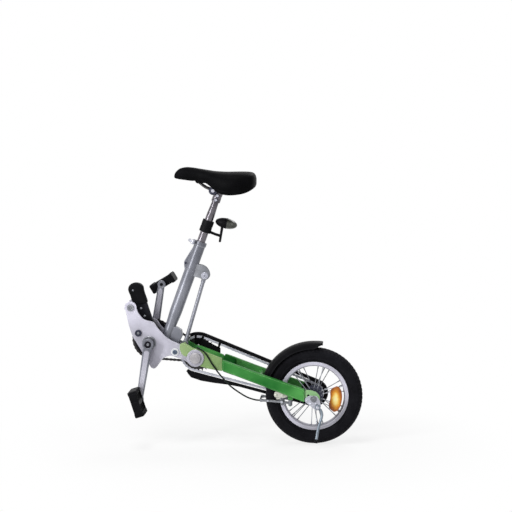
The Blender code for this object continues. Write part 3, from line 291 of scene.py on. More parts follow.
def tone(colour):
    """A screen colour as linear light, with alpha."""
    line = [(v / 255 / 12.92) if v < 11 else ((v / 255 + 0.055) / 1.055) ** 2.4 for v in colour]
    return (*line, 1)


def painted(name, dark, light, edge_wear_and_highlight, rough, metal, shine):
    """Sprayed paint: a slow shade change, a fine flake, faint orange peel, and paler edges that are partly
    wear and partly a painted highlight.
    """
    made = Finish(name)
    colour = made.ramp(made.noise(7, 2), [(0.34, tone(dark)), (0.66, tone(light))])
    specks = made.ramp(made.noise(2200, 1), [(0.4, (0.8, 0.8, 0.8, 1)), (0.6, (1, 1, 1, 1))])
    flaked = made.mixed(0.35, colour, specks, blend_type="MULTIPLY")
    # Paler edges: partly worn paint, partly a painted highlight along every edge
    worn_and_highlit_edges = made.number("MULTIPLY", made.edges(1.2), made.spread(made.noise(90), 0, 1))
    made.set(
        Base_Color=made.mixed(worn_and_highlit_edges, flaked, tone(edge_wear_and_highlight)),
        Roughness=made.spread(made.noise(60), *rough),
        Metallic=metal,
        Specular_IOR_Level=shine,
    )
    made.bump(made.noise(420, 2), 0.02, 0.2)
    return made.material


def bare_metal(name, dark, light, rough, metal, grain=120, depth=0.06):
    """Bare or plated metal with a fine grain, light soiling, uneven shine and brighter rubbed edges."""
    made = Finish(name)
    dark, light = tone(dark), tone(light)
    grime = made.ramp(made.noise(22), [(0.32, dark), (0.62, light)])
    rubbed = tuple(min(1.25 * part, 1) for part in light[:3]) + (1,)
    made.set(
        Base_Color=made.mixed(made.edges(0.8), grime, rubbed),
        Roughness=made.spread(made.noise(grain, 3), *rough),
        Metallic=metal,
    )
    made.bump(made.noise(grain * 3, 2), depth, 0.15)
    return made.material


def moulded(name, dark, light, rough=(0.38, 0.6), grain=500, depth=0.2, dust=None, shine=0.06):
    """Moulded plastic or rubber with a fine pebble grain, and paler dust on its edges."""
    made = Finish(name)
    plain = made.ramp(made.noise(30), [(0.3, tone(dark)), (0.7, tone(light))])
    made.set(
        Base_Color=made.mixed(made.edges(1), plain, tone(dust or light)),
        Roughness=made.spread(made.noise(80), *rough),
        Specular_IOR_Level=shine,
    )
    made.bump(made.noise(grain, 3), depth, 0.3)
    return made.material


def amber(name):
    """Clear amber plastic with a painted highlight that makes it pale in the middle, deep amber and brown at
    its border.
    """
    made = Finish(name)
    x, z = on_circle(AXLE, 71, -7)
    shift = made.vector("SUBTRACT", made.place, (x * MM, REFLECTOR_FACE * MM, z * MM), output="Vector")
    narrow = made.vector("MULTIPLY", shift, (2.1, 0, 1), output="Vector")
    wavy = made.number("MULTIPLY_ADD", made.noise(70, 2), 0.014, made.vector("LENGTH", narrow))
    # The palest shades, in the middle, are a painted highlight
    highlight_to_amber_shades = ((255, 250, 212), (254, 232, 140), (230, 160, 40), (180, 100, 14), (116, 56, 10))
    stops = [(place, tone(shade)) for place, shade in zip((0, 0.36, 0.58, 0.78, 1), highlight_to_amber_shades)]
    made.set(
        Base_Color=made.ramp(made.ranged(wavy, {"From Max": 0.055}), stops),
        Roughness=made.spread(made.noise(220), 0.08, 0.2),
        Specular_IOR_Level=0.4,
    )
    made.bump(made.noise(400, 2), 0.15, 0.2)
    return made.material


def piece(name, body, material, *nodes, slot=None):
    """The bench's mesh on a body, in the place of CAD nodes if any. The slot argument is not used."""
    bmesh.ops.remove_doubles(BENCH, verts=BENCH.verts, dist=0.000001)
    bmesh.ops.recalc_face_normals(BENCH, faces=BENCH.faces)
    mesh = bench_mesh(name)
    obj = link_object(name, mesh)
    mesh.materials.append(material)
    mesh.shade_smooth()
    mesh.set_sharp_from_angle(angle=CORNER)
    obj.modifiers.new("even_shading", "WEIGHTED_NORMAL").keep_sharp = True
    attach(obj, body)
    if nodes:
        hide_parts(*nodes)
    return obj


def cylinder(r, length, steps, place):
    """A cylinder along Z in millimetres, put in its place by a matrix in metres."""
    sizes = {"radius1": r * MM, "radius2": r * MM, "depth": length * MM}
    bmesh.ops.create_cone(BENCH, cap_ends=True, segments=steps, matrix=place, **sizes)


def across(x, z, r, y0, y1, steps=24):
    """A cylinder along Y in millimetres."""
    turn = Matrix.Rotation(-math.pi / 2, 4, "X")
    cylinder(r, abs(y1 - y0), steps, Matrix.Translation(Vector((x, (y0 + y1) / 2, z)) * MM) @ turn)


def between(start, end, r, steps=12):
    """A cylinder from start to end in millimetres."""
    run = Vector(end) - Vector(start)
    turn = run.to_track_quat("Z", "Y").to_matrix().to_4x4()
    cylinder(r, run.length, steps, Matrix.Translation((Vector(start) + run / 2) * MM) @ turn)


def revolve(profile, centre, steps, shift=None):
    """A closed profile of (radius, y) turned about a line along Y, moved out by shift(turn, index)."""
    rings = []
    for i in range(steps):
        angle = 2 * math.pi * i / steps
        ring = []
        for j, (r, y) in enumerate(profile):
            far = r + (shift(i / steps, j) if shift else 0)
            x, z = centre[0] + far * math.cos(angle), centre[2] + far * math.sin(angle)
            ring.append(BENCH.verts.new(Vector((x, centre[1] + y, z)) * MM))
        rings.append(ring)
    count = len(profile)
    for i in range(steps):
        first, second = rings[i], rings[(i + 1) % steps]
        for j in range(count):
            k = (j + 1) % count
            BENCH.faces.new((first[j], first[k], second[k], second[j]))


def slab(outline, y0, y1):
    """An outline of (x, z) as a plate from y0 to y1."""
    low = [BENCH.verts.new(Vector((x, y0, z)) * MM) for x, z in outline]
    high = [BENCH.verts.new(Vector((x, y1, z)) * MM) for x, z in outline]
    BENCH.faces.new(low)
    BENCH.faces.new(list(reversed(high)))
    for i in range(len(outline)):
        k = (i + 1) % len(outline)
        BENCH.faces.new((low[i], high[i], high[k], low[k]))


def on_circle(centre, r, degrees):
    """A side-view point on a circle, by its angle from +X towards +Z."""
    angle = math.radians(degrees)
    return (centre[0] + r * math.cos(angle), centre[2] + r * math.sin(angle))


def tangent(c1, r1, c2, r2):
    """From one circle to another: the distance, its angle, and the angle to the touching points."""
    run = Vector((c2[0] - c1[0], c2[2] - c1[2]))
    way = math.atan2(run[1], run[0])
    spread = math.acos((r1 - r2) / run.length)
    return run.length, math.degrees(way), math.degrees(spread)


def belt(c1, r1, c2, r2, count):
    """Evenly spaced points round two circles in the side view, the first at the middle of the front arc."""
    gap, way, spread = tangent(c1, r1, c2, r2)
    front = r1 * math.radians(180 - spread)
    rear = r2 * math.radians(2 * spread)
    straight = math.sqrt(gap**2 - (r1 - r2) ** 2)
    length = 2 * front + 2 * straight + rear
    top = [Vector(on_circle(c, r, way + spread)) for c, r in ((c1, r1), (c2, r2))]
    low = [Vector(on_circle(c, r, way - spread)) for c, r in ((c1, r1), (c2, r2))]
    points = []
    for i in range(count):
        s = length * i / count
        if s < front:
            points.append(Vector(on_circle(c1, r1, way + 180 - math.degrees(s / r1))))
        elif s < front + straight:
            points.append(top[0].lerp(top[1], (s - front) / straight))
        elif s < front + straight + rear:
            points.append(Vector(on_circle(c2, r2, way + spread - math.degrees((s - front - straight) / r2))))
        elif s < length - front:
            points.append(low[1].lerp(low[0], (s - front - straight - rear) / straight))
        else:
            points.append(Vector(on_circle(c1, r1, way + 180 + math.degrees((length - s) / r1))))
    return points, length


def pitch_radius(teeth):
    """The radius of a sprocket's circle of rollers."""
    return PITCH / (2 * math.sin(math.pi / teeth))


def roller_chain(name, c1, teeth1, c2, teeth2, y, body, node, metal):
    """A roller chain: pairs of waisted side plates, outer and inner in turn, on rollers and pins."""
    r1, r2 = pitch_radius(teeth1), pitch_radius(teeth2)
    count = 2 * round(belt(c1, r1, c2, r2, 1)[1] / PITCH / 2)
    points = belt(c1, r1, c2, r2, count)[0]
    for i, here in enumerate(points):
        there = points[(i + 1) % count]
        along = (there - here).normalized()
        side = Vector((-along[1], along[0]))
        link = []
        for end, facing in ((there, 1), (here, -1)):
            for degrees in (-90, -45, 0, 45, 90):
                turn = math.radians(degrees)
                out = along * math.cos(turn) * facing + side * math.sin(turn) * facing
                link.append(end + out * LINK_R)
            link.append((here + there) / 2 + side * facing * LINK_WAIST)
        near, far = OUTER_LINK if i % 2 else INNER_LINK
        for edge in (-1, 1):
            slab(link, y + edge * near, y + edge * far)
        across(here[0], here[1], ROLLER_R, y - ROLLER_HALF, y + ROLLER_HALF, 12)
        across(here[0], here[1], PIN_R, y - PIN_HALF, y + PIN_HALF, 8)
    piece(name, body, metal, node)


def tyre():
    """A tyre with a block tread, two ribs on each sidewall and a bead line."""
    deep = TYRE_R - BEAD_R
    side = [
        (0, 0.52), (0.05, 0.62), (0.13, 0.76), (0.22, 0.87), (0.25, 0.93), (0.29, 0.9), (0.4, 0.98),
        (0.52, 1), (0.6, 1), (0.63, 1.01), (0.66, 0.98), (0.74, 0.93), (0.8, 0.87), (0.86, 0.77), (0.9, 0.68),
        (0.93, 0.58), (0.955, 0.46), (0.975, 0.34), (0.988, 0.22), (0.994, 0.11), (1, 0),
    ]
    profile = mirrored([(BEAD_R + deep * r, TYRE_HALF * y) for r, y in side])
    first = 12  # the tread runs from this point of the profile to its mirror image
    last = len(profile) - 1 - first

    def tread(turn, j):
        if not first <= j <= last:
            return 0
        off = abs((j - first) / (last - first) - 0.5)
        groove = off < 0.03 or 0.2 < off < 0.26
        phase = (turn * TREAD_BLOCKS + off * TREAD_SLANT) % 1
        return -TREAD_DEEP if groove or phase < TREAD_GAP else 0

    revolve(profile, AXLE, 4 * TREAD_BLOCKS, tread)
    piece("tyre", "wheel", RUBBER, "rear_tyre")


def rim():
    """A box-section rim with a turned brake track and a rounded well."""
    half = [
        (112, 13), (112, 15.6), (111.2, 16), (103.4, 16), (102.6, 15.4), (101.6, 15.3), (99.4, 12.8),
        (97.8, 9), (97, 5), (97, 0),
    ]
    revolve(mirrored(half) + [(109, -12), (109, 12)], AXLE, 120)
    piece("rim", "wheel", SILVER, "rear_rim")


def laced_hub():
    """A turned hub with two flanges, and spokes that cross in pairs, each with its head and nipple."""
    half = [
        (12.5, 52), (12.5, 33), (14, 32), (29, 30), (29.5, 29), (29.5, 27.4), (29, 26.6), (18, 24),
        (14.6, 20), (13.4, 12), (13, 0),
    ]
    revolve(mirrored(half) + [(5.7, -52), (5.7, 52)], AXLE, 48)
    piece("hub_shell", "wheel", DARK, "rear_hub_spokes")
    for i in range(SPOKES):
        edge = -1 if i % 2 else 1
        angle = 360 * i / SPOKES
        lean = SPOKE_LEAN if i % 4 < 2 else -SPOKE_LEAN
        x0, z0 = on_circle(AXLE, SPOKE_IN, angle)
        x1, z1 = on_circle(AXLE, SPOKE_OUT, angle + lean)
        start, end = Vector((x0, edge * 28, z0)), Vector((x1, edge * 3, z1))
        between(start, end, SPOKE_R, 8)
        between(end.lerp(start, 0.12), end, NIPPLE_R, 8)
        across(x0, z0, 2, edge * 30.6, edge * 26, 8)
    piece("wheel_spokes", "wheel", STEEL)


def spline_point(a, b, c, d, t):
    """A point between b and c of a smooth curve through four points."""
    return 0.5 * (2 * b + (c - a) * t + (2 * a - 5 * b + 4 * c - d) * t**2 + (3 * b - a - 3 * c + d) * t**3)


def smooth_path(points, per):
    """Points of a smooth curve through the given ones, which may have any number of values each."""
    points = [Vector(p) for p in points]
    line = [2 * points[0] - points[1], *points, 2 * points[-1] - points[-2]]
    path = []
    for a, b, c, d in zip(line, line[1:], line[2:], line[3:]):
        path += [spline_point(a, b, c, d, i / per) for i in range(per)]
    return path + [points[-1]]


def smooth_loop(points, per):
    """Points of a closed smooth curve through the given ones."""
    points = [Vector(p) for p in points]
    count = len(points)
    loop = []
    for i in range(count):
        a, b, c, d = (points[(i + k) % count] for k in (-1, 0, 1, 2))
        loop += [spline_point(a, b, c, d, k / per) for k in range(per)]
    return loop


def rounded(points, r, steps=5):
    """A polygon with its corners rounded, as far as its sides allow."""
    points = [Vector(p) for p in points]
    loop = []
    for i, corner in enumerate(points):
        before, after = points[i - 1] - corner, points[(i + 1) % len(points)] - corner
        reach = min(r, 0.45 * before.length, 0.45 * after.length)
        start, end = corner + before.normalized() * reach, corner + after.normalized() * reach
        for k in range(steps + 1):
            t = k / steps
            loop.append((1 - t) ** 2 * start + 2 * t * (1 - t) * corner + t**2 * end)
    return loop


def arc(centre, r, start, end, steps):
    """Side-view points of an arc, with angles in degrees from +X towards +Z."""
    return [on_circle(centre, r, start + (end - start) * i / steps) for i in range(steps + 1)]


def circle(centre, r, steps=32):
    """Side-view points of a whole circle."""
    return arc(centre, r, 0, 360 - 360 / steps, steps - 1)


def plate(outline, y0, y1, r, holes=(), segments=2):
    """An outline in the side view as a plate from y0 to y1, with edges rounded to a radius, and holes."""
    curve = bpy.data.curves.new("plate", "CURVE")
    curve.dimensions = "2D"
    curve.fill_mode = "BOTH"
    curve.extrude = (abs(y1 - y0) / 2 - r) * MM
    curve.bevel_depth = r * MM
    curve.bevel_resolution = segments
    curve.offset = -r * MM
    for loop in (outline, *holes):
        spline = curve.splines.new("POLY")
        spline.points.add(len(loop) - 1)
        for point, (x, z) in zip(spline.points, loop):
            point.co = (x * MM, z * MM, 0, 1)
        spline.use_cyclic_u = True
    shape = link_object("plate", curve)
    bpy.context.view_layer.update()
    mesh = bpy.data.meshes.new_from_object(shape.evaluated_get(bpy.context.evaluated_depsgraph_get()))
    mesh.transform(Matrix.Translation((0, (y0 + y1) / 2 * MM, 0)) @ Matrix.Rotation(math.pi / 2, 4, "X"))
    BENCH.from_mesh(mesh)
    bpy.data.meshes.remove(mesh)
    bpy.data.objects.remove(shape)
    bpy.data.curves.remove(curve)


def loft(rings):
    """A closed skin over loops of points in millimetres, with a point in the middle of each end."""
    loops = [[BENCH.verts.new(Vector(p) * MM) for p in ring] for ring in rings]
    count = len(rings[0])
    for first, second in zip(loops, loops[1:]):
        for j in range(count):
            k = (j + 1) % count
            BENCH.faces.new((first[j], first[k], second[k], second[j]))
    for loop in (loops[0], loops[-1]):
        middle = BENCH.verts.new(sum((v.co for v in loop), Vector()) / count)
        for j in range(count):
            BENCH.faces.new((loop[j], loop[(j + 1) % count], middle))


def around(steps):
    """Angles of even steps round a circle, in radians."""
    return [2 * math.pi * i / steps for i in range(steps)]


def tube(path, radius, steps=16):
    """A round bar along points in millimetres."""
    path = [Vector(p) for p in path]
    runs = [(b - a).normalized() for a, b in zip(path, path[1:])]
    ways = [runs[0]] + [(a + b).normalized() for a, b in zip(runs, runs[1:])] + [runs[-1]]
    side = ways[0].orthogonal().normalized()
    rings = []
    for at, way in zip(path, ways):
        side = (side - way * side.dot(way)).normalized()
        other = way.cross(side)
        rings.append([at + radius * (side * math.cos(t) + other * math.sin(t)) for t in around(steps)])
    loft(rings)


def turned(profile, start, axis, steps=48):
    """A profile of (radius, height) turned about a line from start, closed where its radius is nought."""
    axis = Vector(axis).normalized()
    side = axis.orthogonal().normalized()
    other = axis.cross(side)
    ways = [side * math.cos(t) + other * math.sin(t) for t in around(steps)]
    rings = []
    for r, h in profile:
        middle = Vector(start) + axis * h
        rings.append([BENCH.verts.new((middle + r * way) * MM) for way in (ways if r else ways[:1])])
    for first, second in zip(rings, rings[1:]):
        if len(first) + len(second) == 2:
            continue
        for j in range(steps):
            k = (j + 1) % steps
            corners = [ring[i % len(ring)] for ring, i in ((first, j), (first, k), (second, k), (second, j))]
            BENCH.faces.new(list(dict.fromkeys(corners)))


def rounded_box(low, high, r):
    """A block between two corners in millimetres, with its edges rounded."""
    made = bmesh.new()
    bmesh.ops.create_cube(made, size=1)
    size = Vector(high) - Vector(low)
    bmesh.ops.scale(made, vec=size, verts=made.verts)
    bmesh.ops.bevel(made, geom=made.edges[:], offset=r, segments=3, profile=0.5, affect="EDGES")
    bmesh.ops.translate(made, vec=(Vector(low) + Vector(high)) / 2, verts=made.verts)
    bmesh.ops.scale(made, vec=(MM, MM, MM), verts=made.verts)
    mesh = bpy.data.meshes.new("part")
    made.to_mesh(mesh)
    made.free()
    BENCH.from_mesh(mesh)
    bpy.data.meshes.remove(mesh)


def about(at, profile, side=1, steps=48):
    """A profile of (radius, distance from the middle plane) turned about a line along Y, to one side."""
    turned(profile, at, (0, side, 0), steps)


def ring_of(inner, outer, start, end, edge=0.8):
    """The profile of a ring with its outer edges taken off."""
    profile = [(inner, start), (outer - edge, start), (outer, start + edge), (outer, end - edge)]
    return profile + [(outer - edge, end), (inner, end), (inner, start)]


def bar_of(r, start, end, edge=0.8):
    """The profile of a round bar with its ends chamfered."""
    return [(0, start), (r - edge, start), (r, start + edge), (r, end - edge), (r - edge, end), (0, end)]


def side_box(side, low, high, r):
    """A rounded block whose Y range lies on the near or the far side."""
    y = sorted((side * low[1], side * high[1]))
    rounded_box((low[0], y[0], low[2]), (high[0], y[1], high[2]), r)


def flat(place):
    """A side-view point as a centre in the middle plane."""
    return (place[0], 0, place[1])


def head_of(r, start, end, edge=0.8):
    """The profile of a bolt's head, a nut or a washer with the edge of its end taken off."""
    return [(0, start), (r, start), (r, end - edge), (r - edge, end), (0, end)]


def mirrored(half):
    """A profile of (radius, y) that ends in the middle plane, with its mirror image after it."""
    return half + [(r, -y) for r, y in reversed(half[:-1])]


def both(at, profile, steps=48):
    """A profile turned about a line along Y, to the near and to the far side."""
    for side, _ in SIDES:
        about(at, profile, side, steps)


def mast(along, off=0):
    """Side-view point on the mast's axis, by its distance from the seat pivot, off to the rear."""
    s, c = math.sin(MAST_TILT), math.cos(MAST_TILT)
    return (SEAT_PIVOT[0] + along * s + off * c, SEAT_PIVOT[2] + along * c - off * s)


def on_mast(profile, steps=56):
    """A profile of (radius, distance from the seat pivot) turned about the mast."""
    turned(profile, SEAT_PIVOT, MAST_AXIS, steps)


def step(value, low, high):
    """A smooth rise from nought to one between two values."""
    t = min(max((value - low) / (high - low), 0), 1)
    return t * t * (3 - 2 * t)


# Along the saddle: place, top, underside and half the width
SADDLE_STATIONS = (
    (140.5, 427, 421.5, 5),
    (145, 437.5, 418, 13),
    (158, 449, 415, 19),
    (178, 454, 412.5, 22.5),
    (200, 453, 410, 25.5),
    (222, 449.5, 411, 30),
    (237, 447, 407, 36),
    (253, 444.5, 398.5, 45),
    (269, 442, 386, 55),
    (286, 440.5, 373, 64),
    (312, 439.5, 366, 74),
    (342, 440, 366.5, 79.5),
    (370, 440, 371.5, 78),
    (390, 438.5, 380, 68),
    (400, 433.5, 388, 54),
    (405, 424, 397, 34),
    (406.5, 416, 404, 14),
)
# Half a section of its cover: shares of half the width, and of the height from the top down
SADDLE_SECTION = [
    (0, 0), (0.2, 0.004), (0.4, 0.018), (0.58, 0.045), (0.73, 0.09), (0.85, 0.16), (0.93, 0.26), (0.98, 0.4),
    (1, 0.55), (0.995, 0.7), (0.98, 0.8), (0.945, 0.825), (0.965, 0.85), (0.95, 0.92), (0.92, 0.975),
    (0.88, 1), (0.84, 0.985),
]
BASE_TOP = 406.3


def saddle_cover():
    """A firm padded saddle: crowned top, drawn-in sides with a seam, and a hollow below for its base."""
    rings = []
    for x, high, low, wide in smooth_path(SADDLE_STATIONS, 5):
        ceiling = low + max(BASE_TOP - low, 0) * step(x, 222, 240) * (1 - step(x, 378, 396))
        half = [(wide * y, high + (low - high) * z) for y, z in SADDLE_SECTION]
        inside = 0.84 * wide
        wall = max(inside - 7, 0.3 * inside)
        half += [(wall, low + 0.3 * (ceiling - low)), (wall - 1, ceiling - 0.15 * (ceiling - low))]
        half += [(0.8 * wall, ceiling), (0.4 * wall, ceiling), (0, ceiling)]
        rings.append([(x, y, z) for y, z in half] + [(x, -y, z) for y, z in reversed(half[1:-1])])
    loft(rings)
    cover = piece("saddle_cover", "saddle", LEATHER)
    fine = cover.modifiers.new("fine", "SUBSURF")
    fine.levels = 1
    fine.render_levels = 1
    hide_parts("saddle_pad")


def seat_post():
    """A plated post with a drawn neck, a rounded top and a turned line above the clamp."""
    profile = [
        (0, 176), (11.5, 176), (13.5, 178), (13.5, 352), (13.2, 352.6), (13.2, 353.4), (13.5, 354),
        (13.5, 430),
    ]
    profile += [(13.5 - 2.3 * step(h, 428, 484), h) for h in range(432, 486, 4)]
    profile += [(11.2, 508), (10, 511.5), (0, 511.5)]
    on_mast(profile, 48)
    piece("polished_post", "seat_post", CHROME, "seat_post")


def pedal(tip, side, tilt, name):
    """A moulded pedal: barrel with a dust cap, two ribbed treads, cross ribs and end frames."""
    long, tall, wide = PEDAL_LONG / 2, PEDAL_TALL / 2, PEDAL_WIDE / 2
    middle = Vector((tip[0], side * (PEDAL_INNER + wide), tip[1])) * MM
    place = Matrix.Translation(middle) @ Matrix.Rotation(-tilt, 4, "Y")
    for end in (-1, 1):
        rounded_box((-long, end * wide - 2.5, -tall + 1), (long, end * wide + 2.5, tall - 1), 2.2)
        rounded_box((end * long - 7.5, -wide, -tall), (end * long + 7.5, wide, tall), 3)
        for i in range(TREAD_RIBS):
            y = (i - (TREAD_RIBS - 1) / 2) * TREAD_RIB_GAP
            for face in (-1, 1):
                low = (end * long - 6, y - 1.7, face * tall - 1.5)
                rounded_box(low, (end * long + 6, y + 1.7, face * tall + 1.5), 0.8)
    for i in range(CROSS_RIBS):
        y = (i - (CROSS_RIBS - 1) / 2) * CROSS_RIB_GAP
        rounded_box((-long, y - 2, -9), (long, y + 2, 9), 1)
    barrel = [(6.7, -wide), (12.5, -wide), (12.5, wide), (6.7, wide), (6.7, -wide)]
    about((0, 0, 0), barrel, 1, 32)
    cap = [(0, wide + 4), (8, wide + 4), (9.5, wide + 2.5), (9.5, wide - 3), (0, wide - 3)]
    about((0, 0, 0), cap, side, 32)
    bmesh.ops.scale(BENCH, vec=PEDAL_SCALE, verts=BENCH.verts)
    bmesh.ops.transform(BENCH, matrix=place, verts=BENCH.verts)
    piece("treaded_pedal_" + name, "pedal_" + name, BLACK, "pedal_" + name)


def mudguard():
    """A thin arched guard with a rolled bead on both edges, and deep sides that run out at the rear tip."""
    front, rear, count = 162, 80.6, 72
    rings = []
    for i in range(count + 1):
        angle = front + (rear - front) * i / count
        reach = math.radians(angle - rear) * MUDGUARD_R
        deep = 21 - 15 * (1 - step(reach, 0, 34))
        narrow = 1 - 0.22 * (1 - min(reach / 18, 1)) ** 2
        shares = ((30, 1), (29.4, 0.62), (28.2, 0.36), (25, 0.2), (18, 0.08), (9, 0.02))
        half = [(y, -share * deep) for y, share in shares]
        line = smooth_path([(-y, r) for y, r in half] + [(0, 0)] + list(reversed(half)), 2)
        outer = [(MUDGUARD_R + r, y * narrow) for y, r in line]
        inner = [(r - 1.6, y * 0.955) for r, y in outer]
        ring = []
        for r, y in outer + list(reversed(inner)):
            x, z = on_circle(AXLE, r, angle)
            ring.append((x, y, z))
        rings.append(ring)
    loft(rings)
    for edge in (0, len(rings[0]) // 2 - 1):
        tube([Vector(ring[edge]).lerp(Vector(ring[len(ring) - 1 - edge]), 0.5) for ring in rings], 1.5, 8)
    piece("rolled_mudguard", "swingarm", BLACK, "mudguard")


def reflector():
    """A curved bar of clear amber with rounded ends, and rows of small prisms in a plain border."""
    low, high, start, end = 53.5, 91.5, -38, 25
    rows, columns = 13, 44
    rings = []
    for i in range(columns + 1):
        inset = 10 * abs(2 * i / columns - 1) ** 5
        inner, outer = low + inset, high - inset
        angle = start + (end - start) * i / columns
        heights = []
        for j in range(rows + 1):
            edge = i in (0, columns) or j in (0, rows)
            peak = not edge and i % 2 and j % 2
            heights.append((j, -25.2 if peak else (REFLECTOR_FACE if edge else -23.6)))
        ring = []
        for j, y in heights + [(rows, -19.3), (0, -19.3)]:
            x, z = on_circle(AXLE, inner + (outer - inner) * j / rows, angle)
            ring.append((x, y, z))
        rings.append(ring)
    loft(rings)
    piece("prism_reflector", "wheel", AMBER, "spoke_reflector")


def on_lamp(share, girth, angle):
    """A point of the lamp's shell, by its share of the length, its girth and the angle round it."""
    long, wide, tall = LAMP_SIZE
    at = Vector((share * long, girth * wide * math.cos(angle), girth * tall * math.sin(angle)))
    return Vector(LAMP) + Matrix.Rotation(LAMP_TILT, 3, "Y") @ at


def lamp_half(name, start, end, ribs, material, *nodes):
    """The stretch of the lamp's shell between two shares of its length, with ribs lengthwise."""
    rings = []
    for i in range(25):
        share = start + (end - start) * i / 24
        girth = math.sqrt(max(1 - share**2, 0.0004))
        line = [(turn, girth * (1 - 0.02 * ribs * (1 + math.cos(24 * turn)) / 2)) for turn in around(96)]
        rings.append([on_lamp(share, reach, turn) for turn, reach in line])
    loft(rings)
    piece(name, "seat_post", material, *nodes)


def lamp():
    """A dark body, a ribbed lens and the seal between them."""
    lamp_half("lamp_body", -1, 0.02, 0, BLACK, "rear_lamp")
    lamp_half("lamp_lens", 0.06, 1, 1, LENS)
    tube([on_lamp(0.04, 0.98, turn) for turn in (*around(64), 2 * math.pi)], 1.3, 8)
    piece("lamp_seal", "seat_post", BLACK)


def main_plates():
    """Side plates with a flowing outline and rounded edges."""
    outline = arc(UPPER_PIVOT, 20, 222, -5, 9)
    outline += [(23, -12), (30.9, -24.4), (41.6, -36.7), (55.2, -41.9), (69.8, -44.8), (77.9, -50)]
    outline += [(89.3, -67.1), (102.3, -80.7), (113.6, -93), (134.1, -106.3), (156, -116), (162, -121)]
    outline += [(163.5, -133), (174, -141)] + arc(ARM_PIVOT, 28, 145, -122, 12)
    outline += [(170, -168), (148.7, -161.4), (134.1, -156.8), (122.7, -156.8), (106.8, -164.3)]
    outline += [(98, -174.3), (84.4, -193.4), (77, -198.5), (69, -197), (62, -189), (35.7, -142.3)]
    outline += [(19.5, -115), (9.8, -100.2), (3.9, -87.2), (-3.6, -65.8), (-9.7, -40.6)]
    loop = smooth_loop(outline, 3)
    for side, name, pivot_r in ((-1, "near", 11.6), (1, "far", 8.6)):
        drilled = [(UPPER_PIVOT, 6.6), (LOWER_PIVOT, 6.6), (BOTTOM_BRACKET, 16.6), (REAR_BOLT, 6.6)]
        holes = [circle(at, r) for at, r in (*drilled, (ARM_PIVOT, pivot_r))]
        plate(loop, side * PLATE_IN, side * PLATE_OUT, 1.6, holes)
        piece("rounded_plate_" + name, "frame", SILVER, "main_plate_" + name)


def plate_fittings():
    """Bolts, bearing cups, cross pins and the rear pivot's bolt and cap."""
    head = [(6, 41.3), (10.4, 41.3), (11, 42), (11, 45.2), (9.8, 46.6), (5.4, 46.6), (4.8, 45.6), (4.8, 44)]
    head += head[:1]
    for at, name, metal in ((UPPER_PIVOT, "upper", ALLOY), (LOWER_PIVOT, "lower", DARK)):
        about(at, bar_of(6, -44, 44))
        both(at, head)
        piece("pivot_bolt_" + name, "frame", metal, "front_pivot_bolt_" + name, slot="dull_metal")
    for at in (UPPER_PIVOT, LOWER_PIVOT):
        both(at, head_of(4.7, 44, 47.2), 6)
    piece("pivot_bolt_tips", "frame", STEEL)
    about(BOTTOM_BRACKET, ring_of(16.6, 20, -INNER_END, INNER_END))
    piece("bearing_shell", "frame", SILVER, "bottom_bracket_shell")
    cup = [(10.6, 18), (16, 18), (16, 41.3), (23, 41.3), (23, 43.6), (21.6, 45), (18.6, 45)]
    cup += [(17.6, 43.6), (10.6, 43.6), (10.6, 18)]
    for side, name in SIDES:
        about(BOTTOM_BRACKET, cup, side)
        for i in range(8):
            at = flat(on_circle(BOTTOM_BRACKET, 20.2, 45 * i))
            about(at, bar_of(1.5, 44.4, 45.4, 0.3), side, 12)
        piece("bearing_cup_" + name, "frame", STEEL, "bottom_bracket_cup_" + name)
    pins = (("seat_pivot_pin", SEAT_PIVOT, 8, 38), ("seat_stop_bar", STOP_BAR, 5, INNER_END))
    for name, at, r, end in pins:
        about(at, bar_of(r, -end, end))
        piece("turned_" + name, "frame", STEEL, name)
    about(ARM_PIVOT, ring_of(11.6, 14, -INNER_END, INNER_END))
    piece("pivot_sleeve", "frame", STEEL, "rear_pivot_tube")
    about(REAR_BOLT, ring_of(6.2, 13, 41.3, 43.4), -1)
    piece("white_washer", "frame", WHITE, "rear_plate_bolt")
    about(REAR_BOLT, bar_of(6, -42.5, 40.5))
    head = [(3.6, 43.4), (7.2, 43.4), (7.8, 44), (7.8, 45.4), (6.8, 46.3), (4.2, 46.3), (3.6, 45.6)]
    about(REAR_BOLT, head + head[:1], -1)
    piece("rear_bolt_head", "frame", BLUED)
    flange = [(0, 21), (11, 21), (11, 50.3), (27.2, 50.3), (28, 51.1), (28, 52.4), (26.8, 53.5)]
    flange += [(20, 53.5), (19, 52.6), (0, 52.6)]
    about(ARM_PIVOT, flange, -1, 64)
    piece("pivot_flange", "frame", SILVER, "rear_pivot_bolt")
    dome = [(0, 53), (17.6, 53), (18, 53.6), (18, 56.6), (16.4, 58.2), (10, 58.7), (0, 58.8)]
    about(ARM_PIVOT, dome, -1, 64)
    piece("domed_cap", "frame", GREY, "pivot_cap")


def lock_grip():
    """A dark lever with a thicker rubber grip over its upper half, three screws and its pin."""
    lower = [(31.7, -44.4), (14, -2), (2, 24), (10, 40), (30, 40), (46, 22), (56, -10), (68.2, -44.4)]
    plate(rounded(lower + arc(LOCK_PIVOT, 14, 30, -155, 10), 6), -10.5, 10.5, 2.2)
    piece("lock_arm", "lock_lever", SOOT, "lock_lever")
    upper = [
        (5, 9), (-4.5, 35), (-11.5, 54), (-8, 68), (1.5, 75.2), (14, 77.6), (28, 74.4), (36.6, 66), (39, 54),
        (43, 40), (50.5, 17), (45, 10), (24, 6),
    ]
    plate(smooth_loop(upper, 5), -13.5, 13.5, 5.5, (), 4)
    piece("lock_grip", "lock_lever", BLACK)
    about(LOCK_PIVOT, bar_of(5, -38, 38))
    for at, face in (((31, -5.2), 10.3), ((42.4, -30.7), 10.3), ((4.6, 53.2), 12.6)):
        dome = [(0, face - 2), (3.6, face - 2), (3.6, face + 0.6), (2.6, face + 1.5), (1.3, face + 1.8)]
        both(flat(at), dome + [(1.1, face + 0.9), (0, face + 0.9)], 20)
    piece("lock_screws", "lock_lever", STEEL)


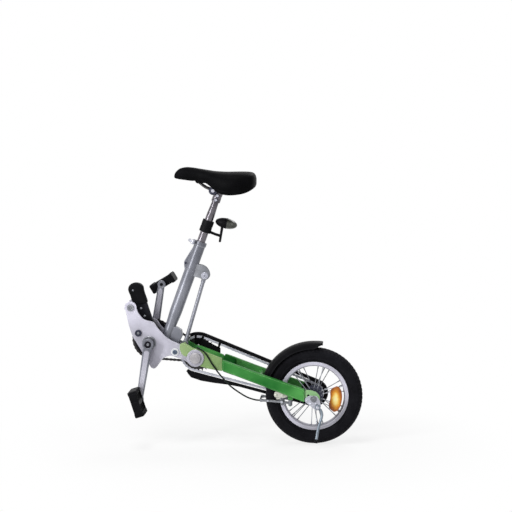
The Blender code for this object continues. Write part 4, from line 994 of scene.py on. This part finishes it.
def swinging_arm():
    """Cheeks with the strut's pin stubs, crossbar, boxed arms with rounded edges, dropouts and bridge."""
    lever = [
        (204.3, -128.8), (184.2, -116.5), (174, -112.5), (165, -114), (160.5, -121), (161, -136), (168, -150),
        (176, -156), (190, -158),
    ]
    cheek = arc(ARM_PIVOT, 26, 235, 290, 6)
    cheek += [(252, -196), (299.7, -204), (299.7, -162), (250, -143), (226, -133.5)]
    loop = rounded(lever + cheek, 5)
    # The near cheek takes the paler copy of the green paint, as painted light; the far cheek takes the plain
    # green
    cheeks = (("near", LIT_GREEN, -50, -42.5, 11.6, (-49, -8.5)), ("far", GREEN, 20, 33, 14.6, (8.5, 21)))
    for name, paint, y0, y1, hole, stub in cheeks:
        plate(loop, y0, y1, 1.6, [circle(ARM_PIVOT, hole)])
        about(STRUT_PIN, bar_of(6, *stub))
        piece("arm_cheek_" + name, "swingarm", paint, "swingarm_cheek_" + name)
    # The crossbar takes the darker copy of the green paint: painted shade
    bar = [(300, -204), (338, -217.5), (338, -176), (300, -162)]
    plate(rounded(bar, 5), -ARM_CLEAR, ARM_CLEAR, 3)
    piece("arm_crossbar", "swingarm", SHADED_GREEN, "swingarm_crossbar")
    arm = [
        (300, -200), (314.9, -204.8), (563.7, -298.1), (566, -296), (566, -259), (563.7, -256.3),
        (395.7, -198.4), (316, -168.5), (300, -164),
    ]
    end = [
        (566.3, -295.5), (566.3, -259.5), (585, -260), (603, -265.5), (614, -277), (616, -292), (609, -304),
        (595, -309), (579, -305),
    ]
    for side, name in SIDES:
        plate(rounded(arm, 6), side * ARM_IN, side * ARM_OUT, 3.6, (), 3)
        piece("boxed_arm_" + name, "swingarm", GREEN, "swingarm_arm_" + name)
        holes = [circle(AXLE, 5.6), circle((577.7, 0, -278), 4, 20)]
        plate(rounded(end, 7), side * 60, side * 66, 1.2, holes)
        side_box(side, (562, 59, -290), (570, 67, -265), 1.5)
        piece("arm_dropout_" + name, "swingarm", SAGE, "dropout_" + name)
    end = [(7, 49.5), (8.6, 51.5), (8.6, ARM_CLEAR), (0, ARM_CLEAR)]
    bridge = [(r, -y) for r, y in reversed(end)] + end
    about(flat(on_circle(AXLE, MUDGUARD_R + 7.3, 159.5)), bridge)
    piece("guard_bridge", "swingarm", GREEN, "mudguard_bridge")


def tooth_loop(centre, teeth, phase, hollow):
    """A sprocket's outline with a round seat for each roller, the first at the phase angle."""
    radius = pitch_radius(teeth)
    loop = []
    for i in range(teeth):
        degrees = phase + 360 * i / teeth
        seat = flat(on_circle(centre, radius, degrees))
        for turn in (68, 34, 0, -34, -68):
            loop.append(on_circle(seat, hollow, degrees + 180 + turn))
        half = 180 / teeth
        tip = math.degrees(TOOTH_TIP / radius)
        loop += [on_circle(centre, radius + TOOTH_TALL, degrees + half + turn) for turn in (-tip, tip)]
    return loop


def sprocket(centre, teeth, phase, middle, holes, hollow=3.7):
    """A toothed plate about its middle plane."""
    loop = tooth_loop(centre, teeth, phase, hollow)
    plate(loop, middle - SPROCKET_HALF, middle + SPROCKET_HALF, 0.5, holes, 1)


def drive():
    """Chainring, the jackshaft with its two sprockets, and the freewheel's sprocket."""
    first = math.degrees(math.atan2(ARM_PIVOT[2] - BOTTOM_BRACKET[2], ARM_PIVOT[0] - BOTTOM_BRACKET[0]))
    second = math.degrees(math.atan2(AXLE[2] - ARM_PIVOT[2], AXLE[0] - ARM_PIVOT[0]))
    windows = [circle(flat(on_circle(BOTTOM_BRACKET, 37.9, 72 * i + 20)), 12, 24) for i in range(5)]
    sprocket(BOTTOM_BRACKET, RING_TEETH, first + 180, FIRST_CHAIN, windows)
    about(BOTTOM_BRACKET, ring_of(10.6, 19, 55.5, 61.7))
    piece("toothed_chainring", "crankset", SOOT, "chainring", slot="steel")
    about(BOTTOM_BRACKET, bar_of(10, -61.7, 61.7))
    piece("turned_spindle", "crankset", STEEL, "crank_spindle")
    about(ARM_PIVOT, bar_of(8, -20.4, 60))
    piece("turned_jackshaft", "jackshaft", STEEL, "jackshaft")
    bore = circle(ARM_PIVOT, 8.6)
    windows = [circle(flat(on_circle(ARM_PIVOT, 33, 72 * i)), 11, 24) for i in range(5)]
    sprocket(ARM_PIVOT, LARGE_TEETH, second + 180, SECOND_CHAIN, [*windows, bore], 4.7)
    piece("toothed_sprocket_large", "jackshaft", OILED, "jackshaft_sprocket_large")
    sprocket(ARM_PIVOT, SMALL_TEETH, first, FIRST_CHAIN, [bore])
    about(ARM_PIVOT, ring_of(8.6, 13, 48.5, 55.5))
    piece("toothed_sprocket_small", "jackshaft", OILED, "jackshaft_sprocket_small")
    sprocket(AXLE, REAR_TEETH, second, SECOND_CHAIN, [circle(AXLE, 13.1)])
    about(AXLE, ring_of(13.1, 20, 34, 50.5))
    piece("freewheel_sprocket", "freewheel", OILED, "rear_sprocket")


def crank(tip, side, name):
    """A forged crank arm with a bolt well, a rib on both faces, a boss for the pedal and the pedal's axle."""
    tip = flat(tip)
    loop = belt(BOTTOM_BRACKET, 14.5, tip, 10.5, 96)[0]
    wells = [circle(BOTTOM_BRACKET, 12), circle(tip, 5.8)]
    plate(loop, side * 62, side * 75.6, 3.4, wells, 3)
    boss = [(0, 63), (17.2, 62.6), (18, 63.4), (18, 75.8), (16.6, 77.4), (13, 77.4), (12, 76.4), (12, 72.6)]
    about(BOTTOM_BRACKET, boss + [(0, 72.6)], side)
    eye = [(0, 64.6), (5.6, 64.6), (5.6, 61.9), (12.2, 61.9), (13, 62.7), (13, 74.2), (12, 75.2), (0, 75.2)]
    about(tip, eye, side)
    axle = [(0, 73), (8.6, 73), (8.6, 79.4), (6, 79.6), (6, 156.2), (5.2, 157), (0, 157)]
    about(tip, axle, side, 32)
    piece("forged_crank_" + name, "crankset", SATIN, "crank_" + name)
    root, end = (tuple(Vector(BOTTOM_BRACKET).lerp(tip, part)) for part in (0.155, 0.89))
    for y0, y1 in ((75, 76.5), (61.3, 62.6)):
        plate(belt(root, 8.4, end, 6.8, 80)[0], side * y0, side * y1, 0.6)
    piece("crank_rib_" + name, "crankset", CRANK)
    # Dark discs at the bottom of the bolt well and of the eye's recess: painted shade
    well = [(0, 72.8), (11.9, 72.8), (11.9, 74), (8.4, 74.2), (8.4, 75.6), (0, 75.6)]
    about(BOTTOM_BRACKET, well, side)
    about(tip, [(0, 64.7), (5.5, 64.7), (5.5, 63.6), (0, 63.6)], side, 24)
    piece("painted_shade_crank_wells_" + name, "crankset", SOOT)
    bolt = [(0, 75.4), (4.8, 75.4), (4.8, 77), (3.8, 77.9), (0, 77.9)]
    about(BOTTOM_BRACKET, bolt, side, 6)
    piece("crank_bolt_" + name, "crankset", STEEL)


def chain_guard():
    """A channel round the second chain: lips, web, bridges, a skirt in front, a disc at the wheel."""
    r1, r2 = pitch_radius(LARGE_TEETH) + 15, pitch_radius(REAR_TEETH) + 17
    _, way, spread = tangent(ARM_PIVOT, r1, AXLE, r2)
    high, low = way + spread, way - spread

    def band(inset, depth):
        """The channel's outline between two distances from its edge."""
        start, end = 115 - inset, inset - 124
        a, b = r1 - inset, r2 - inset
        loop = arc(ARM_PIVOT, a, start, high, 14) + arc(AXLE, b, high, low, 36)
        loop += arc(ARM_PIVOT, a, low, end, 10) + arc(ARM_PIVOT, a - depth, end, low, 10)
        return loop + arc(AXLE, b - depth, low, high, 36) + arc(ARM_PIVOT, a - depth, high, start, 14)

    plate(band(0, 3.2), 41.6, 50.8, 0.7)
    plate(band(0.4, 10.4), 41.65, 42.6, 0.3, (), 1)
    plate(band(0.4, 6.5), 49.9, 50.75, 0.3, (), 1)
    web = arc(ARM_PIVOT, 51.6, 105, 72, 12) + [(286, -142), (286, -163)] + arc(ARM_PIVOT, 32, -3, 105, 18)
    bridges = []
    for at in (98, 74):
        bridges.append(arc(ARM_PIVOT, r1 - 1.5, at - 3, at + 3, 4) + arc(ARM_PIVOT, 48, at + 4, at - 4, 4))
    bridges.append([(275, -143), (282, -145), (289, -121), (282, -118)])
    for sheet in (web, *bridges):
        plate(sheet, 41.2, 42.3, 0.3, (), 1)
    skirt = [
        (172.5, -217.5), (177, -228), (188, -241), (222, -252), (265.5, -259), (309, -264), (352, -271.5),
        (352, -267), (265.5, -245), (222, -234.5), (194.5, -228),
    ]
    plate(rounded(skirt, 3), 41.7, 43.2, 0.4, (), 1)
    plate(circle(AXLE, r2 - 1, 64), 50.6, 52.2, 0.4, [circle(AXLE, 16)], 1)
    about((262, 0, -160), bar_of(5, 33.3, 41.6))
    start = on_circle(ARM_PIVOT, r1, high)
    z = start[1] + (450 - start[0]) * math.tan(math.radians(high - 90))
    for x0, x1, y0, z0, z1 in ((444, 456, 45.6, -6.5, -1.6), (445, 455, 51.6, -48, -3)):
        rounded_box((x0, y0, z + z0), (x1, ARM_CLEAR, z + z1), 0.8)
    piece("channel_guard", "swingarm", BLACK, "chain_guard")


def axle_and_stand():
    """The wheel's axle with washers and nuts, the stand's bracket and its bent leg with a rubber foot."""
    about(AXLE, bar_of(5, -80, 80))
    for side, face in ((-1, 69.8), (1, 66.3)):
        about(AXLE, ring_of(5, 9, 52.3, 59.7), side)
        about(AXLE, ring_of(5, 10.4, face, face + 1.8, 0.5), side)
        nut = [(5, face + 1.8), (9.5, face + 1.8), (9.5, face + 7), (8.4, face + 8), (5, face + 8)]
        about(AXLE, nut + [(5, face + 1.8)], side, 6)
    piece("axle_and_nuts", "swingarm", STEEL, "rear_axle")
    outline = [(566.6, -286), (580, -277.5), (604, -277.5), (614, -290), (619, -312), (613, -323)]
    plate(rounded(outline + [(600, -323.5), (566.6, -297)], 6), -69.5, -66.3, 0.7, [circle(AXLE, 5.6)])
    pin = [(0, 68.5), (3.5, 68.5), (3.5, 83.2), (5.4, 83.2), (5.4, 84.4), (4.2, 85.2), (0, 85.2)]
    about(STAND_PIVOT, pin, -1, 24)
    rivet = [(0, 68.5), (3.4, 68.5), (3.4, 71), (2.6, 71.7), (0, 71.9)]
    for x, z in ((573, -293.5), (585.5, -303), (602.5, -303.5)):
        about((x, 0, z), rivet, -1, 20)
    piece("stand_bracket", "swingarm", BRIGHT, "kickstand_bracket")
    about(STAND_PIVOT, ring_of(4.1, 8, 69.8, 82.5), -1)
    leg = [
        (608, -76.5, -313.9), (617, -77.4, -322), (621.6, -79, -334), (620.4, -81.2, -346),
        (610.6, -85.5, -379.7), (605.6, -88.8, -408), (602.5, -91.5, -427),
    ]
    path = smooth_path(leg, 6)
    start = next(i for i, p in enumerate(path) if (p - Vector(leg[0])).length > 7)
    tube(path[start:], 4.5, 20)
    piece("bent_stand", "kickstand", SLATE, "kickstand")
    tube(path[-5:], 5.6, 20)
    piece("stand_foot", "kickstand", BLACK)


def brakes():
    """On each side a pale caliper block under the arm, a stud on its post, a bent brake arm and its pad."""
    x, z = BRAKE_PIVOT
    for side, name in SIDES:
        y = side * 34
        out = side * 35.5
        side_box(side, (508, 29, -283.9), (529.6, ARM_CLEAR, -268), 1.5)
        side_box(side, (510.7, 29, -297), (526.7, 39, -280), 1.5)
        turned(bar_of(4, -9, 15), (x, y, z), (0, 0, 1), 24)
        piece("brake_post_" + name, "swingarm", GREEN, "brake_mount_" + name)
        block = [(466, -282), (469, -268.5), (500, -265), (511, -268), (511, -285), (498, -288.5)]
        plate(rounded(block + [(470, -287)], 4), side * 40, side * ARM_CLEAR, 1.6)
        side_box(side, (474, 42, -294), (486, 50, -284), 1.5)
        dome = [(0, 52), (4.4, 52), (4.4, 54.4), (3.2, 55.4), (0, 55.6)]
        for at in (473.5, 494):
            about((at, 0, -279), dome, side, 20)
        piece("caliper_block_" + name, "swingarm", PALE)
        route = [
            (x, y, z + 1), (PAD_X + 8.5, y, -306), (PAD_X - 13.5, out, -303.5), (440, out, -301),
            (424, out, -300),
        ]
        tube(smooth_path(route, 5), 4.2, 16)
        turned(ring_of(4.6, 6.5, -7, 12.7), (x, y, z), (0, 0, 1), 32)
        between((PAD_X - 0.5, out, -304), (PAD_X - 0.5, side * 25, -304), 3.4, 20)
        side_box(side, (PAD_X - 5, 21.5, -317), (PAD_X + 5, 25.5, -291), 1.2)
        side_box(side, (420, 31, -305), (429, 40, -295.5), 1.5)
        piece("bent_brake_arm_" + name, "brake_" + name, ALLOY, "brake_arm_" + name)
        for at, r in (((PAD_X - 0.5, -304), 5), ((446, -300.6), 3.4)):
            about(flat(at), head_of(r, 38.4, 42.6, 1), side, 6)
        piece("brake_nuts_" + name, "brake_" + name, BRIGHT)
        side_box(side, (PAD_X - 4.5, 16.8, -318), (PAD_X + 4.5, 22.5, -290), 1)
        piece("brake_pad_" + name, "brake_" + name, BLACK)


# The cable's points, as in the part's source
CABLE_ROUTE = [
    (216, -52.8, -126.5), (237, -52.8, -138), (250, -52.8, -153), (264, -52.8, -176), (286, -54.8, -207),
    (309.6, -54.8, -234.2), (332.2, -52.8, -256.8), (374.4, -50, -285), (402, -45, -296), (417, -37, -299.5),
    (421, -27, -300), (421, 0, -300), (421, 27, -300), (421, 36, -300),
]


def cable():
    """A brake cable in its cover, with a ferrule where it starts."""
    path = smooth_path(CABLE_ROUTE, 8)
    tube(path, 2.5, 14)
    tube(path[:5], 3.1, 14)
    piece("covered_cable", "swingarm", CABLE, "brake_cable")


def seat_mast():
    """The mast: tube, sleeve, split clamp, front fin, lug for the strut, barrel, and foot on the stop bar."""
    line = [
        (0, 2), (16.8, 2), (16.8, 52), (17.4, 62), (19.4, 92), (20, 104), (20, 246), (20.6, 248),
        (20.6, 250.5), (18.6, 252.5), (18.6, 331.5), (20.5, 334), (20.5, 345.2), (19.7, 346), (14.1, 346),
        (14.1, 300), (0, 300),
    ]
    on_mast(line)
    about(SEAT_PIVOT, ring_of(8.6, 17, -30, 30, 1.2))
    fin = [mast(242, -12), mast(242, -19), mast(258, -27), mast(268, -30), mast(328, -17.5), mast(328, -12)]
    plate(rounded(fin, 4), -5, 5, 1.6)
    ears = [mast(333.5, -12), mast(333.5, -29), mast(344.5, -29), mast(344.5, -12)]
    for side, _ in SIDES:
        plate(rounded(ears, 3), side * 2.2, side * 13, 1.4)
    skewer = [(0, -17.7), (3, -17.7), (3, 13), (5.8, 13), (5.8, 17), (5, 18), (0, 18)]
    about(flat(mast(*CLAMP)), skewer, 1, 24)
    piece("smooth_mast", "seat_tube", SATIN, "seat_tube")
    about(flat(mast(264, -23.5)), bar_of(3.8, -7.4, 7.4, 0.6), 1, 24)
    piece("fin_bolt", "seat_tube", DARK)
    lug = [
        (196, 141), (222, 139), (237, 135), (247, 127), (254, 115), (256, 102), (251.5, 93), (243.5, 88.6),
        (233, 89.4), (224, 94), (210, 99), (190, 101),
    ]
    for side, _ in SIDES:
        plate(rounded(lug, 7), side * 7.8, side * 12.8, 1.6, [circle(STRUT_TOP, 5.6)])
    piece("strut_lug", "seat_tube", ALLOY)
    foot = [(126, -64), (146, -66), (163, -76), (166, -94), (160, -107), (153, -117.2), (140, -117.2)]
    plate(rounded(foot + [(126, -104), (116, -96)], 3), -12.5, 12.5, 1.6)
    piece("mast_foot", "seat_tube", SATIN, slot="dull_metal")


def strut():
    """The strut: a bar with an eye at each end, and the bolt through the mast's lug with its washers."""
    run = Vector(STRUT_PIN) - Vector(STRUT_TOP)
    bar = [(0, 4), (7.2, 4), (7.2, 22), (6.2, 26), (6.2, run.length - 26), (7.2, run.length - 22)]
    turned(bar + [(7.2, run.length - 4), (0, run.length - 4)], STRUT_TOP, run, 32)
    about(STRUT_TOP, bar_of(11, -7, 7, 1))
    about(STRUT_PIN, bar_of(10.5, -7.4, 7.4, 1))
    piece("turned_strut", "strut", SATIN, "seat_strut")
    pin = [
        (0, -12), (3.2, -12), (3.4, -15.2), (6.6, -15.2), (7.6, -14.2), (7.6, -13), (5, -13), (5, 13),
        (7.6, 13), (7.6, 14.2), (6.6, 15.2), (0, 15.2),
    ]
    about(STRUT_TOP, pin, 1, 32)
    both(STRUT_TOP, ring_of(5.2, 11.5, 12.9, 14, 0.4))
    piece("strut_bolt", "strut", BRIGHT)


def clamp_lever():
    """The clamp's cam and its bent lever."""
    pivot = mast(*CLAMP)
    turned(bar_of(6, -7, 7), (pivot[0], -24, pivot[1]), MAST_AXIS, 32)
    route = []
    for off, y in ((-23, -24), (-29, -23.6), (-34, -19.5), (-37.3, -10), (-37.8, 2), (-37.2, 14)):
        place = mast(CLAMP[0], off)
        route.append((place[0], y, place[1]))
    tube(smooth_path(route, 5), 3.6, 18)
    piece("bent_clamp_lever", "clamp_lever", BRIGHT, "seat_clamp_lever")


def saddle_mount():
    """The post's head with its barrel and bolts, the bent rails with their clamps, and the rails' socket."""
    head = [
        (11.8, 484), (13.8, 484), (14.6, 485), (14.6, 500), (13.6, 501.5), (13.6, 503), (14.6, 504.5),
        (14.6, 518), (13, 520), (0, 520), (0, 512.3), (11.8, 512.3), (11.8, 484),
    ]
    on_mast(head, 40)
    about(SADDLE_PIVOT, bar_of(12.5, -15, 15, 1.2))
    piece("post_head", "seat_post", CHROME, "saddle_clamp")
    for along in (491, 506):
        both(flat(mast(along)), head_of(6.8, 12, 15.8, 0.6), 32)
    piece("head_washers", "seat_post", DARK)
    for along in (491, 506):
        both(flat(mast(along)), head_of(5.2, 15.4, 19.2), 6)
    piece("head_bolts", "seat_post", BRIGHT)
    half = [
        (219, 4, 406), (223, 9, 403.4), (231, 14.5, 397.4), (243, 19, 389.4), (254, 21.6, 385),
        (264, 22, 384.4), (290, 22, 385.4), (312, 25, 390), (340, 31, 398.9), (356, 34, 398.9),
    ]
    line = [(x, -y, z) for x, y, z in reversed(half)] + [(217.6, 0, 407)] + half
    tube(smooth_path(line, 5), 3.5, 16)
    piece("bent_rails", "saddle", OILED, "saddle_rails", slot="chrome")
    disc = [(0, 15.3), (13, 15.3), (14, 16.3), (14, 26.5), (12.6, 28.3), (7.4, 28.3), (7, 27.4), (0, 27.4)]
    both(SADDLE_PIVOT, disc, 40)
    piece("rail_clamps", "saddle", DARK)
    both(SADDLE_PIVOT, head_of(6.4, 27.2, 32, 1), 6)
    piece("rail_bolts", "saddle", BRIGHT)
    socket = [(206, 414), (212, 403), (222, 400.5), (232, 402.8), (246, 402.8), (246, 408)]
    plate(rounded(socket, 3), -11, 11, 1.5)
    piece("rail_socket", "saddle", BLACK)


def lamp_holder():
    """A collar on the post with a groove, and an arm that carries the lamp's back plate."""
    collar = [
        (14.1, 380), (18.2, 380), (19, 381), (19, 398), (18.2, 399), (18.2, 401), (19, 402), (19, 419),
        (18.2, 420), (14.1, 420), (14.1, 380),
    ]
    on_mast(collar, 48)
    tube(smooth_path([(254, 0, 245), (262, 0, 241.4), (274, 0, 236.6), (290, 0, 231.5)], 5), 4.5, 18)
    back = [(284.5, 212), (291, 211), (300, 262), (292, 264)]
    plate(rounded(back, 2), -9, 9, 1.2)
    piece("split_collar", "seat_post", BLACK, "lamp_bracket")


place_camera()
make_floor()
set_light()

# Each paint's third colour is what its edges turn to: partly wear, partly a painted highlight
SILVER = painted("silver_paint", (160, 159, 169), (210, 208, 223), (238, 238, 242), (0.3, 0.42), 0.25, 0.2)
SATIN = painted("satin_tube", (98, 100, 110), (136, 138, 148), (172, 174, 182), (0.3, 0.39), 0.3, 0.6)
CRANK = painted("polished_alloy", (172, 171, 183), (206, 205, 217), (222, 222, 230), (0.2, 0.3), 0.3, 0.5)
GREEN = painted("green_paint", (36, 108, 44), (92, 170, 88), (170, 214, 158), (0.3, 0.42), 0, 0.08)
# A darker, matt copy of the green paint: painted shade for the crossbar between the arms
SHADED_GREEN = painted("shaded_green_paint", (24, 82, 32), (58, 124, 56), (104, 168, 96), (0.5, 0.65), 0, 0)
# A paler copy of the green paint for the near cheek: painted light
LIT_GREEN = painted("lit_green_paint", (128, 156, 102), (168, 188, 140), (208, 222, 190), (0.3, 0.42), 0, 0.1)
SAGE = painted("pale_green_paint", (118, 166, 108), (158, 200, 148), (206, 226, 196), (0.3, 0.42), 0, 0.15)
WHITE = painted("white_paint", (206, 207, 210), (228, 229, 232), (244, 244, 244), (0.35, 0.5), 0, 0.2)
STEEL = bare_metal("plain_steel", (92, 94, 100), (148, 150, 156), (0.22, 0.4), 0.7)
BRIGHT = bare_metal("zinc_plate", (158, 160, 172), (202, 203, 214), (0.24, 0.4), 0.5)
OILED = bare_metal("oiled_steel", (26, 24, 25), (54, 52, 53), (0.3, 0.5), 0.7)
BLUED = bare_metal("blued_steel", (66, 76, 92), (98, 110, 128), (0.28, 0.42), 0.7)
CHROME = bare_metal("bright_plate", (66, 63, 69), (110, 106, 112), (0.15, 0.23), 0.5, 60, 0.02)
ALLOY = bare_metal("dull_alloy", (108, 110, 116), (150, 152, 158), (0.38, 0.55), 0.6)
PALE = bare_metal("pale_casting", (160, 160, 152), (206, 206, 196), (0.4, 0.58), 0.3)
GREY = bare_metal("grey_cap", (138, 136, 140), (178, 175, 178), (0.4, 0.55), 0.3)
SLATE = bare_metal("grey_stand", (98, 108, 120), (134, 144, 154), (0.32, 0.46), 0.6)
DARK = bare_metal("dark_bolt", (30, 32, 44), (58, 60, 76), (0.3, 0.45), 0.7)
BLACK = moulded("black_plastic", (8, 8, 10), (16, 16, 19), dust=(32, 32, 36))
SOOT = moulded("soot_grey", (17, 17, 21), (30, 30, 36), dust=(52, 52, 60))
CABLE = moulded("cable_cover", (18, 24, 22), (34, 42, 38), (0.3, 0.45), 900, 0.1)
RUBBER = moulded("tyre_rubber", (14, 14, 17), (25, 25, 29), (0.7, 0.9), 320, 0.35, (40, 39, 43))
LENS = moulded("dark_lens", (34, 36, 32), (72, 74, 66), (0.1, 0.2), 200, 0.05, (120, 122, 112), 0.5)
LEATHER = moulded("saddle_cover", (6, 6, 7), (12, 12, 14), (0.4, 0.55), 900, 0.25, (15, 15, 17), 0.02)
AMBER = amber("amber_lens")

# The saddle's base keeps its CAD shape
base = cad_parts["saddle_base"].data.materials
base.clear()
base.append(BLACK)

first = (BOTTOM_BRACKET, RING_TEETH, ARM_PIVOT, SMALL_TEETH, FIRST_CHAIN)
roller_chain("first_chain_links", *first, "frame", "primary_chain", OILED)
# The second chain takes the pale zinc finish, lighter than plain steel, to make up for the shade of the
# guard's lip: painted light
second = (ARM_PIVOT, LARGE_TEETH, AXLE, REAR_TEETH, SECOND_CHAIN)
roller_chain("second_chain_links", *second, "swingarm", "secondary_chain", BRIGHT)
tyre()
rim()
laced_hub()
main_plates()
plate_fittings()
lock_grip()
swinging_arm()
drive()
reach = CRANK_LENGTH * math.sin(CRANK_TILT), CRANK_LENGTH * math.cos(CRANK_TILT)
for side, name in SIDES:
    tip = (BOTTOM_BRACKET[0] + side * reach[0], BOTTOM_BRACKET[2] + side * reach[1])
    crank(tip, side, name)
    pedal(tip, side, math.radians(PEDAL_TILT[name]), name)
chain_guard()
mudguard()
axle_and_stand()
brakes()
cable()
seat_mast()
strut()
clamp_lever()
seat_post()
saddle_mount()
saddle_cover()
lamp_holder()
lamp()
reflector()
